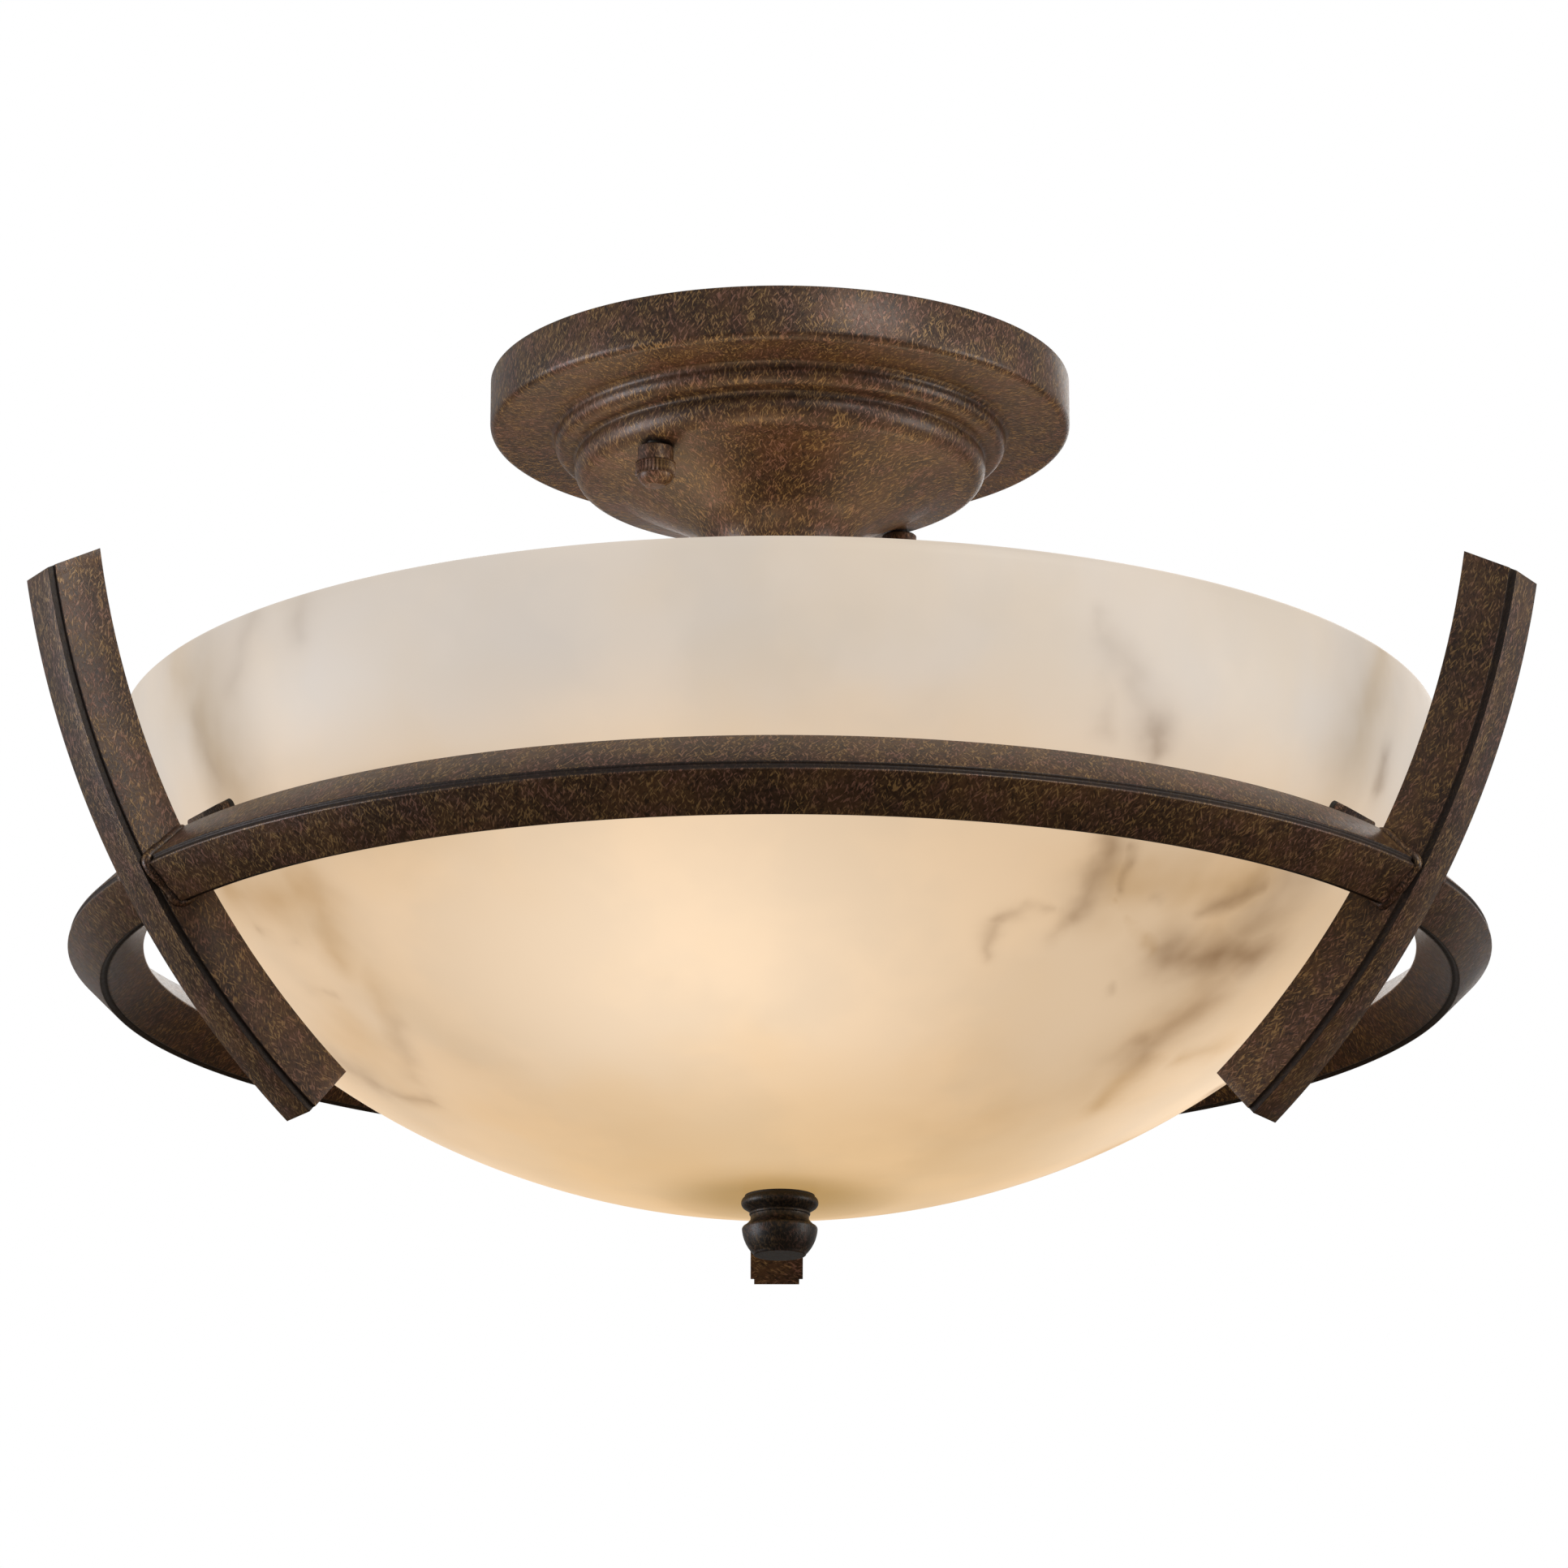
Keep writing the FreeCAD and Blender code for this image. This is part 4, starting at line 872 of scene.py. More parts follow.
# Painted shade: the same bronze paint darkened for the finial, which hangs in shade under the bowl.
BRONZE_SHADED = BronzePaint(name="bronze_paint_shaded", ground=tone(12, 8, 6), cloud=tone(18, 12, 8),
                          hair_share=0.1, rough=0.46)
GLASS = MarbledGlass()
ZINC = PlatedSteel()
# Painted shade: zinc darkened for the canopy screws, to stand for the shade in the gap between the nuts and
# the canopy.
SHADE_DARKENED_ZINC = PlatedSteel(name="zinc_darkened_for_shade", bright=tone(74, 70, 66), dull=tone(46, 43, 41), rough=0.4)
BRASS = PlatedSteel(name="bright_brass", slot=Slot.BRASS, bright=tone(212, 178, 104),
                    dull=tone(176, 140, 74))
CAP = PlatedSteel(name="rolled_aluminium", slot=Slot.CAP, bright=tone(214, 214, 212),
                  dull=tone(180, 180, 178), rough=0.22)
PORCELAIN = PlainSkin(coat=0.6)
RUBBER = PlainSkin(name="black_rubber", slot=Slot.RUBBER, colour=tone(38, 37, 36), second=tone(54, 52, 50),
                   rough=0.6, grain=1500.0)
FIBRE = PlainSkin(name="dark_fibre", slot=Slot.FIBRE, colour=tone(44, 35, 29), second=tone(32, 26, 22),
                  rough=0.65, grain=2200.0)
GREEN = PlainSkin(name="green_dyed_zinc", slot=Slot.GREEN, colour=tone(44, 128, 62),
                  second=tone(34, 100, 50), rough=0.3, metal=0.7)
LIT = LitBulb()


# ------------------------------------------------------------------------------ modelling
class Outline:
    """Profile in radius and height, in millimetres, walked from point to point."""

    def __init__(self, start: Point) -> None:
        """Start the walk."""
        self.points: list[Point] = [start]

    def line(self, *ends: Point) -> "Outline":
        """Straight runs to each point in turn."""
        self.points.extend(ends)
        return self

    def arc(self, middle: Point, end: Point, steps: int = 10) -> "Outline":
        """Arc from here by way of a middle point.

        Args:
            middle: a point that the arc passes through.
            end: where it ends.
            steps: how many straight pieces stand for it.

        Returns:
            This outline.
        """
        start = Vector(self.points[-1])
        chord_a = Vector(middle) - start
        chord_b = Vector(end) - start
        cross = 2.0 * (chord_a.x * chord_b.y - chord_a.y * chord_b.x)
        if abs(cross) < 1e-9:
            return self.line(end)
        off_x = (chord_b.y * chord_a.length_squared - chord_a.y * chord_b.length_squared) / cross
        off_y = (chord_a.x * chord_b.length_squared - chord_b.x * chord_a.length_squared) / cross
        centre = start + Vector((off_x, off_y))
        radius = math.hypot(off_x, off_y)

        def angle_of(point: Vector) -> float:
            """Angle of a point seen from the centre."""
            return math.atan2(point.y - centre.y, point.x - centre.x)

        first = angle_of(start)
        middle_turn = (angle_of(Vector(middle)) - first) % math.tau
        turn = (angle_of(Vector(end)) - first) % math.tau
        if middle_turn > turn:
            turn -= math.tau
        for step in range(1, steps + 1):
            angle = first + turn * step / steps
            self.points.append((centre.x + radius * math.cos(angle), centre.y + radius * math.sin(angle)))
        return self

    def moved(self, out: float, up: float) -> list[Point]:
        """The points so far, moved together."""
        return [(radius + out, height + up) for radius, height in self.points]


@dataclass(frozen=True)
class Spindle:
    """Axis that a profile is spun about: upright, or level along Y. Its centre is in millimetres."""

    centre: tuple[float, float, float] = (0.0, 0.0, 0.0)
    upright: bool = True

    def polar(self, place: Vector) -> tuple[Vector, float]:
        """Radius and height of a place from the axis, in metres, and its angle.

        Args:
            place: where, in metres.

        Returns:
            The radius and height as a vector, and the angle in radians.
        """
        offset = place - Vector(self.centre) * MM
        across, up = (offset.y, offset.z) if self.upright else (offset.z, offset.y)
        return Vector((math.hypot(offset.x, across), up)), math.atan2(across, offset.x)

    def onward(self, angle: float) -> Vector:
        """Way that the spin goes at an angle."""
        way = (-math.sin(angle), math.cos(angle), 0.0)
        return Vector(way) if self.upright else Vector((way[0], 0.0, way[1]))


class Bench:
    """Modelling moves that all sub-assemblies share. Sizes come in millimetres."""

    @staticmethod
    def only(piece: bpy.types.Object) -> None:
        """Select one object and nothing else.

        Args:
            piece: the object.
        """
        bpy.ops.object.select_all(action="DESELECT")
        piece.select_set(True)
        bpy.context.view_layer.objects.active = piece

    @staticmethod
    def loop(name: str, points: Sequence[Vector], closed: bool = True) -> bpy.types.Object:
        """Chain of edges through points, made from a circle.

        Args:
            name: the object's name.
            points: places in millimetres.
            closed: join the last point to the first.

        Returns:
            The object, in object mode.
        """
        bpy.ops.object.select_all(action="DESELECT")
        bpy.ops.mesh.primitive_circle_add(vertices=len(points), radius=MM, fill_type="NOTHING")
        piece = bpy.context.active_object
        piece.name = name
        piece.data.name = name
        for vertex, point in zip(piece.data.vertices, points):
            vertex.co = Vector(point) * MM
        if not closed:
            last = len(points) - 1
            for vertex in piece.data.vertices:
                vertex.select = vertex.index in {0, last}
            for edge in piece.data.edges:
                edge.select = set(edge.vertices) == {0, last}
            bpy.ops.object.mode_set(mode="EDIT")
            bpy.ops.mesh.delete(type="EDGE_FACE")
            bpy.ops.object.mode_set(mode="OBJECT")
        return piece

    @classmethod
    def spun(cls, piece: bpy.types.Object, steps: int, degrees: float = 360.0,
             centre: tuple[float, float, float] = (0.0, 0.0, 0.0),
             axis: tuple[float, float, float] = (0.0, 0.0, 1.0)) -> bpy.types.Object:
        """Spin a chain of edges round an axis into a skin and close its open ends.

        Args:
            piece: the chain of edges.
            steps: how many facets the skin has round it.
            degrees: how far it is spun.
            centre: a point on the axis.
            axis: the way of the axis.

        Returns:
            The same object, now a closed skin.
        """
        cls.only(piece)
        bpy.ops.object.mode_set(mode="EDIT")
        bpy.ops.mesh.select_all(action="SELECT")
        bpy.ops.mesh.spin(steps=steps, angle=-math.radians(degrees), center=Vector(centre) * MM, axis=axis)
        bpy.ops.mesh.select_all(action="SELECT")
        bpy.ops.mesh.remove_doubles(threshold=1e-6)
        if degrees < 360.0:
            bpy.ops.mesh.fill_holes(sides=0)
        bpy.ops.mesh.select_all(action="SELECT")
        bpy.ops.mesh.normals_make_consistent(inside=False)
        bpy.ops.object.mode_set(mode="OBJECT")
        return piece

    @classmethod
    def turned(cls, name: str, outline: Outline | Sequence[Point], steps: int = 96,
               closed: bool = True) -> bpy.types.Object:
        """Piece turned about the Z axis from a profile.

        Args:
            name: the piece's name.
            outline: its profile in radius and height.
            steps: how many facets go round it.
            closed: join the profile's last point to its first.

        Returns:
            The piece.
        """
        points = outline.points if isinstance(outline, Outline) else outline
        piece = cls.loop(name, [Vector((radius, 0.0, height)) for radius, height in points], closed)
        return cls.spun(piece, steps)

    @classmethod
    def cut(cls, piece: bpy.types.Object, point: Vector, normal: Vector) -> None:
        """Saw off what lies beyond a plane and close the cut.

        Args:
            piece: what is sawn.
            point: a point on the plane.
            normal: the side that goes.
        """
        cls.only(piece)
        bpy.ops.object.mode_set(mode="EDIT")
        bpy.ops.mesh.select_all(action="SELECT")
        bpy.ops.mesh.bisect(plane_co=Vector(point) * MM, plane_no=normal, use_fill=True, clear_outer=True)
        bpy.ops.mesh.select_all(action="SELECT")
        bpy.ops.mesh.normals_make_consistent(inside=False)
        bpy.ops.object.mode_set(mode="OBJECT")

    @classmethod
    def eased(cls, piece: bpy.types.Object, width: float, segments: int = 3, angle: float = 35.0) -> None:
        """Round the sharp edges.

        Args:
            piece: what is eased.
            width: how far the rounding reaches.
            segments: facets across it.
            angle: edges sharper than this are rounded, in degrees.
        """
        cls.only(piece)
        bevel = piece.modifiers.new("eased_edges", "BEVEL")
        bevel.width = width * MM
        bevel.segments = segments
        bevel.limit_method = "ANGLE"
        bevel.angle_limit = math.radians(angle)
        bevel.use_clamp_overlap = True
        bpy.ops.object.modifier_apply(modifier=bevel.name)

    @classmethod
    def smooth(cls, piece: bpy.types.Object, angle: float = 35.0) -> None:
        """Shade smooth below an angle."""
        cls.only(piece)
        bpy.ops.object.shade_smooth_by_angle(angle=math.radians(angle))

    @classmethod
    def grain(cls, piece: bpy.types.Object, profile: Sequence[Point], spindle: Spindle = Spindle(),
              along_spin: bool = False, shaded_grooves: Sequence[int] = ()) -> None:
        """Lay the map that the brushed hairs follow over a spun piece, in metres, and the mask of groove
        faces that are painted in shade.

        Args:
            piece: the finished mesh, where it was spun.
            profile: what was spun, in radius and height from the axis.
            spindle: the axis.
            along_spin: the hairs run the way of the spin, in place of along the profile.
            shaded_grooves: numbers of the profile's runs that lie in a groove, whose faces are painted in
                shade.
        """
        ends = [Vector(point) * MM for point in profile]
        runs = [(start, end - start) for start, end in zip(ends, ends[1:] + ends[:1])]
        starts = [sum(run[1].length for run in runs[:number]) for number in range(len(runs))]

        def gap(place: Vector, number: int) -> float:
            """Distance from a place to one run.

            Args:
                place: the point.
                number: the run's number.

            Returns:
                The distance, in metres.
            """
            start, run = runs[number]
            share = (place - start).dot(run) / max(run.length_squared, 1e-12)
            return (place - start - run * min(1.0, max(0.0, share))).length

        piece.data.uv_layers.new(name=GRAIN_MAP)
        piece.data.attributes.new(GROOVE_SHADE_MASK, "FLOAT", "CORNER")
        layer = piece.data.uv_layers[GRAIN_MAP]
        groove = piece.data.attributes[GROOVE_SHADE_MASK]
        nearest: dict[tuple[float, float], int] = {}
        for face in piece.data.polygons:
            place, middle = spindle.polar(face.center)
            key = (round(place.x, 5), round(place.y, 5))
            if key not in nearest:
                nearest[key] = min(range(len(runs)), key=lambda number: gap(place, number))
            number = nearest[key]
            start, run = runs[number]
            ends_here = abs(face.normal.dot(spindle.onward(middle))) > 0.7
            reference = MM * 1.3 ** round(math.log(max(place.x, MM) / MM, 1.3))
            for index in face.loop_indices:
                spot, angle = spindle.polar(piece.data.vertices[piece.data.loops[index].vertex_index].co)
                around = (middle + (angle - middle + math.pi) % math.tau - math.pi) * reference
                along_run = starts[number] + (spot - start).dot(run.normalized())
                pair = (along_run, around) if along_spin else (around, along_run)
                layer.data[index].uv = (spot.x, spot.y) if ends_here else pair
                # Painted shade: groove faces get a full mask, which the bronze paint darkens.
                groove.data[index].value = 1.0 if number in shaded_grooves and not ends_here else 0.0

    @classmethod
    def put(cls, piece: bpy.types.Object, place: Matrix) -> None:
        """Move a piece and leave its object at the origin.

        Args:
            piece: what is moved.
            place: where it goes.
        """
        cls.only(piece)
        piece.matrix_world = place
        bpy.ops.object.transform_apply(location=True, rotation=True, scale=True)

    @classmethod
    def copy(cls, piece: bpy.types.Object, name: str) -> bpy.types.Object:
        """Copy of a piece with its own mesh.

        Args:
            piece: what is copied.
            name: the copy's name.

        Returns:
            The copy.
        """
        made = piece.copy()
        made.data = piece.data.copy()
        made.name = name
        made.data.name = name
        bpy.context.scene.collection.objects.link(made)
        return made

    @classmethod
    def joined(cls, name: str, pieces: Sequence[bpy.types.Object]) -> bpy.types.Object:
        """Several meshes as one object.

        Args:
            name: the object's name.
            pieces: what is joined, the first of which stays.

        Returns:
            The joined object.
        """
        bpy.ops.object.select_all(action="DESELECT")
        for piece in pieces:
            piece.select_set(True)
        bpy.context.view_layer.objects.active = pieces[0]
        bpy.ops.object.join()
        pieces[0].name = name
        pieces[0].data.name = name
        return pieces[0]

    @staticmethod
    def at_heading(heading: float) -> Matrix:
        """Turn that brings +X to a heading."""
        return Matrix.Rotation(math.radians(heading - 90.0), 4, "Z")


@dataclass
class SubAssembly:
    """A group of pieces that is made and dressed together."""

    def build(self) -> None:
        """Make and dress the pieces."""
        raise NotImplementedError

    @staticmethod
    def dress(piece: bpy.types.Object, finish: Finish, body: Body, *nodes: str) -> None:
        """Give a new piece its finish and its body, and hide the solids that it replaces.

        Args:
            piece: the finished mesh.
            finish: what its surface looks like.
            body: what it moves with.
            nodes: the solids that it replaces.
        """
        piece.data.materials.clear()
        piece.data.materials.append(finish.material())
        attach(piece, body.value)
        if nodes:
            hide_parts(*nodes)
        LOG.info("%s: %d faces on %s", piece.name, len(piece.data.polygons), body.value)

    @staticmethod
    def keep(finish: Finish, *nodes: str) -> None:
        """Leave solids as they are and give them a finish.

        Args:
            finish: what their surface looks like.
            nodes: the solids.
        """
        for node in nodes:
            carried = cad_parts[node]
            carried.data.materials.clear()
            carried.data.materials.append(finish.material())
            LOG.info("%s: kept", node)


# ------------------------------------------------------------------------------ ceiling end
@dataclass
class Canopy(SubAssembly):
    """Spun pan against the ceiling, with what is fixed inside it."""

    radius: float = 70.0
    side: float = 13.0
    corner: float = 2.0
    wall: float = 1.2
    screw_circle: float = 44.45
    outer_bead_step: float = 5.2
    outer_bead_drop: float = 5.2
    inner_bead_step: float = 3.0
    inner_bead_drop: float = 8.0
    seat_outside: float = 1.75
    seat_inside: float = 4.95
    seat_drop: float = 1.0
    cone_drop: float = 7.8
    neck_radius: float = 16.0
    flare_width: float = 8.0
    flare_drop: float = 11.0
    neck_length: float = 3.0
    hole_radius: float = 5.06
    steps: int = 192

    def skin(self) -> Outline:
        """Outside of the pan from its rim down to the neck's end.

        Returns:
            The outline.
        """
        side = -self.side
        outer_z = side - self.outer_bead_drop
        inner_z = outer_z - self.inner_bead_drop
        seat_z = inner_z - self.seat_drop
        cone_z = seat_z - self.cone_drop
        flare_z = cone_z - self.flare_drop
        seat = self.screw_circle + self.seat_outside
        bead = seat + self.inner_bead_step
        edge = bead + self.outer_bead_step
        cone = self.neck_radius + self.flare_width
        cove = 0.3 * self.outer_bead_drop
        groove = 0.15 * self.inner_bead_drop
        slant = self.corner * math.sqrt(0.5)
        path = Outline((self.radius, 0.0))
        path.line((self.radius, side + self.corner))
        path.arc((self.radius - self.corner + slant, side + self.corner - slant),
                 (self.radius - self.corner, side), 6)
        path.line((edge + cove, side))
        path.arc((edge + 0.35 * cove, side - 0.25 * cove), (edge, side - cove), 6)
        path.arc((edge - 0.25, outer_z + 0.3 * self.outer_bead_drop),
                 (edge - 0.5 * self.outer_bead_step, outer_z), 10)
        path.line((bead + groove, outer_z - 0.05 * self.outer_bead_drop))
        path.arc((bead + 0.35 * groove, outer_z - 0.4 * groove), (bead, outer_z - groove), 6)
        path.arc((bead - 0.25, inner_z + 0.28 * self.inner_bead_drop), (seat, inner_z), 10)
        path.line((self.screw_circle - self.seat_inside, seat_z), (cone, cone_z))
        path.arc((self.neck_radius + 0.2 * self.flare_width, cone_z - 0.52 * self.flare_drop),
                 (self.neck_radius, flare_z), 14)
        path.line((self.neck_radius, flare_z - self.neck_length))
        return path

    def build(self) -> None:
        """Turn the pan, and finish the hardware behind it."""
        skin = self.skin()
        inside = [(radius, height) for radius, height in skin.moved(-self.wall, self.wall) if height < 0.0]
        floor = skin.points[-1][1]
        points = skin.points + [(self.hole_radius, floor), (self.hole_radius, floor + self.wall)]
        points += list(reversed(inside)) + [(self.radius - self.wall, 0.0)]
        pan = Bench.turned("canopy_pan", points, self.steps)
        Bench.eased(pan, 0.35, 2, 40.0)
        Bench.smooth(pan, 40.0)
        Bench.grain(pan, points)
        self.dress(pan, BRONZE, Body.FIXTURE, "canopy")
        self.keep(ZINC, "mounting_bar", "bar_nuts", "stem_nut", "stem_lock_washer")
        # Painted shade: the canopy screws take the darkened zinc.
        self.keep(SHADE_DARKENED_ZINC, "canopy_screws")
        self.keep(GREEN, "ground_screw")


@dataclass
class CanopyNuts(SubAssembly):
    """Knurled cap nuts under the canopy."""

    heading: float = -41.7
    circle: float = 44.45
    collar: float = 4.25
    collar_chamfer: float = 0.35
    knurl: float = 4.85
    knurl_depth: float = 0.6
    ridges: int = 30
    collar_length: float = 3.8
    knurl_length: float = 3.3
    tip: float = 2.4
    tip_length: float = 2.5
    tip_round: float = 0.4
    bore: float = 2.15
    bore_depth: float = 7.2

    def nut(self, name: str) -> bpy.types.Object:
        """One nut on the Z axis with its upper face at zero.

        Args:
            name: the nut's name.

        Returns:
            The nut.
        """
        knurl_top = -self.collar_length
        knurl_end = knurl_top - self.knurl_length
        end = knurl_end - self.tip_length
        root = self.knurl - self.knurl_depth
        path = Outline((0.0, end)).line((self.tip - self.tip_round, end))
        path.arc((self.tip, end + 0.1), (self.tip + 0.3, end + self.tip_round), 3)
        path.arc((root - 0.45, end + 0.55 * self.tip_length), (root, knurl_end), 8)
        path.line((root, knurl_top), (self.collar, knurl_top), (self.collar, -self.collar_chamfer))
        path.line((self.collar - self.collar_chamfer, 0.0), (self.bore, 0.0))
        path.line((self.bore, -self.bore_depth), (0.0, -self.bore_depth))
        core = Bench.turned(name + "_core", path, 64, closed=False)
        rim = []
        for step in range(2 * self.ridges):
            radius = self.knurl if step % 2 == 0 else root
            angle = math.pi * step / self.ridges
            rim.append(Vector((radius * math.cos(angle), radius * math.sin(angle), knurl_end)))
        band = Bench.loop(name + "_band", rim)
        Bench.only(band)
        bpy.ops.object.mode_set(mode="EDIT")
        bpy.ops.mesh.select_all(action="SELECT")
        bpy.ops.mesh.edge_face_add()
        rise = (0.0, 0.0, self.knurl_length * MM)
        bpy.ops.mesh.extrude_region_move(TRANSFORM_OT_translate={"value": rise})
        bpy.ops.mesh.select_all(action="SELECT")
        bpy.ops.mesh.normals_make_consistent(inside=False)
        bpy.ops.object.mode_set(mode="OBJECT")
        Bench.eased(band, 0.12, 2, 30.0)
        whole = Bench.joined(name, [core, band])
        Bench.smooth(whole, 38.0)
        Bench.grain(whole, path.points)
        return whole

    def build(self) -> None:
        """Put one nut on each screw."""
        for node, body, heading in (("canopy_nut_near", Body.NUT_NEAR, self.heading),
                                    ("canopy_nut_far", Body.NUT_FAR, self.heading + 180.0)):
            piece = self.nut("knurled_" + node)
            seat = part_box(node)[1][2]
            place = along(heading) * self.circle * MM
            Bench.put(piece, Matrix.Translation((place.x, place.y, seat)))
            self.dress(piece, BRONZE, body, node)


# ------------------------------------------------------------------------------ stem and lamps
@dataclass
class StemAndHub(SubAssembly):
    """What hangs the lamps and the bowl under the canopy."""

    nipple: float = 5.0
    bore: float = 3.4
    stem: float = 9.5
    collar: float = 18.5
    collar_round: float = 2.0
    clearance: float = 0.06

    def build(self) -> None:
        """Turn the collar and the stem; the hub stays as it is."""
        end, top = self.heights("neck_collar")
        hole = self.nipple + self.clearance
        path = Outline((hole, top)).line((self.collar, top), (self.collar, end + self.collar_round))
        inset = self.collar_round * (1.0 - math.sqrt(0.5))
        path.arc((self.collar - inset, end + inset), (self.collar - self.collar_round, end), 6)
        path.line((hole, end))
        collar = self.finished("turned_collar", path, 96, 0.3)
        self.dress(collar, BRONZE, Body.FIXTURE, "neck_collar")
        low, high = self.heights("stem")
        hub_top = self.heights("hub")[1]
        path = Outline((self.bore, high)).line((self.nipple, high), (self.nipple, end), (self.stem, end))
        path.line((self.stem, hub_top), (self.nipple, hub_top), (self.nipple, low), (self.bore, low))
        stem = self.finished("stem_tube", path, 72, 0.25)
        self.dress(stem, BRONZE, Body.FIXTURE, "stem")
        self.keep(BRONZE_PLAIN, "hub")
        self.keep(ZINC, "rod_nut")

    @staticmethod
    def heights(node: str) -> Point:
        """Lowest and highest point of a solid."""
        low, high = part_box(node)
        return low[2] / MM, high[2] / MM

    @staticmethod
    def finished(name: str, path: Outline, steps: int, edge: float) -> bpy.types.Object:
        """Piece turned from a path, with its edges eased and its brushed grain laid.

        Args:
            name: the piece's name.
            path: its profile.
            steps: how many facets go round it.
            edge: width of the eased edges.

        Returns:
            The piece.
        """
        piece = Bench.turned(name, path, steps)
        Bench.eased(piece, edge, 2)
        Bench.smooth(piece)
        Bench.grain(piece, path.points)
        return piece


@dataclass
class LampCluster(SubAssembly):
    """Three lampholders with their bulbs."""

    headings: tuple[float, ...] = (-15.0, 105.0, 225.0)
    tilt: float = 40.0
    meet_depth: float = 5.7
    socket: float = 17.0
    socket_start: float = 19.5
    socket_length: float = 39.8
    foot_round: float = 3.0
    groove_start: float = 15.0
    groove_end: float = 18.0
    groove_depth: float = 0.7
    groove_slope: float = 0.6
    mouth_round: float = 1.0
    bore: float = 13.54
    floor: float = 11.8
    tube: float = 4.86
    bulb: float = 23.8
    bulb_neck: float = 12.4
    bulb_wall: float = 0.9
    base_end: float = 58.9
    bulb_centre: float = 38.0
    crown_start: float = -38.0

    def axis(self, heading: float) -> Matrix:
        """Place that lays +Z along one lamp's axis.

        Args:
            heading: which way the lamp leans out.

        Returns:
            The place, whose Z axis runs out through the bulb.
        """
        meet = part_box("hub")[1][2] - self.meet_depth * MM
        lean = Matrix.Rotation(math.radians(90.0 + self.tilt), 4, "Y")
        return Matrix.Translation((0.0, 0.0, meet)) @ Bench.at_heading(heading) @ lean

    def holder(self, name: str) -> bpy.types.Object:
        """Porcelain body with its well.

        Args:
            name: the piece's name.

        Returns:
            The lampholder on the Z axis.
        """
        start = self.socket_start
        end = start + self.socket_length
        waist = self.socket - self.groove_depth
        groove_start = start + self.groove_start
        groove_end = start + self.groove_end
        path = Outline((self.tube, start)).line((self.socket - self.foot_round, start))
        path.arc((self.socket - 0.3 * self.foot_round, start + 0.3 * self.foot_round),
                 (self.socket, start + self.foot_round), 8)
        path.line((self.socket, groove_start), (waist, groove_start + self.groove_slope))
        path.line((waist, groove_end - self.groove_slope), (self.socket, groove_end))
        path.line((self.socket, end - self.mouth_round))
        path.arc((self.socket - 0.3 * self.mouth_round, end - 0.3 * self.mouth_round),
                 (self.socket - self.mouth_round, end), 4)
        path.line((self.bore, end), (self.bore, start + self.floor), (self.tube, start + self.floor))
        piece = Bench.turned(name, path, 96)
        Bench.eased(piece, 0.35, 3, 30.0)
        Bench.smooth(piece)
        return piece

    def envelope(self, name: str) -> bpy.types.Object:
        """Pear-shaped glass.

        Args:
            name: the piece's name.

        Returns:
            The bulb's glass on the Z axis.
        """
        neck = self.bulb_neck
        centre = self.base_end + self.bulb_centre
        waist = self.base_end + 0.2 * self.bulb_centre
        start = math.radians(self.crown_start)
        wall = self.bulb_wall
        inner = self.bulb - wall

        def crown(radius: float) -> Point:
            """Where the round part starts."""
            return (radius * math.cos(start), centre + radius * math.sin(start))

        def shoulder(end: Point) -> Point:
            """Middle of the hollow between the neck and the round part."""
            return ((neck + end[0]) / 2 - 0.8, (waist + end[1]) / 2)

        path = Outline((neck, self.base_end)).line((neck, waist))
        path.arc(shoulder(crown(self.bulb)), crown(self.bulb), 10)
        path.arc((self.bulb, centre), (0.0, centre + self.bulb), 26)
        shell = path.points
        path = Outline((0.0, centre + inner)).arc((inner, centre), crown(inner), 26)
        path.arc(shoulder(crown(inner)), (neck - wall, waist), 10)
        path.line((neck - wall, self.base_end))
        piece = Bench.turned(name, list(reversed(shell + path.points)), 72, closed=False)
        Bench.only(piece)
        bpy.ops.object.mode_set(mode="EDIT")
        bpy.ops.mesh.select_all(action="SELECT")
        bpy.ops.mesh.normals_make_consistent(inside=False)
        bpy.ops.object.mode_set(mode="OBJECT")
        Bench.smooth(piece, 50.0)
        return piece

    def build(self) -> None:
        """Make each lampholder and bulb along its own axis."""
        bodies = (Body.BULB_1, Body.BULB_2, Body.BULB_3)
        for number, (heading, body) in enumerate(zip(self.headings, bodies), 1):
            holder = self.holder(f"porcelain_holder_{number}")
            Bench.put(holder, self.axis(heading))
            self.dress(holder, PORCELAIN, Body.FIXTURE, f"lamp_socket_{number}")
            bulb = self.envelope(f"bulb_envelope_{number}")
            Bench.put(bulb, self.axis(heading))
            self.dress(bulb, LIT, body, f"bulb_glass_{number}")
            self.keep(CAP, f"bulb_base_{number}")
            self.keep(BRASS, f"screw_shell_{number}", f"socket_contact_{number}")
            self.keep(ZINC, f"socket_tube_{number}")


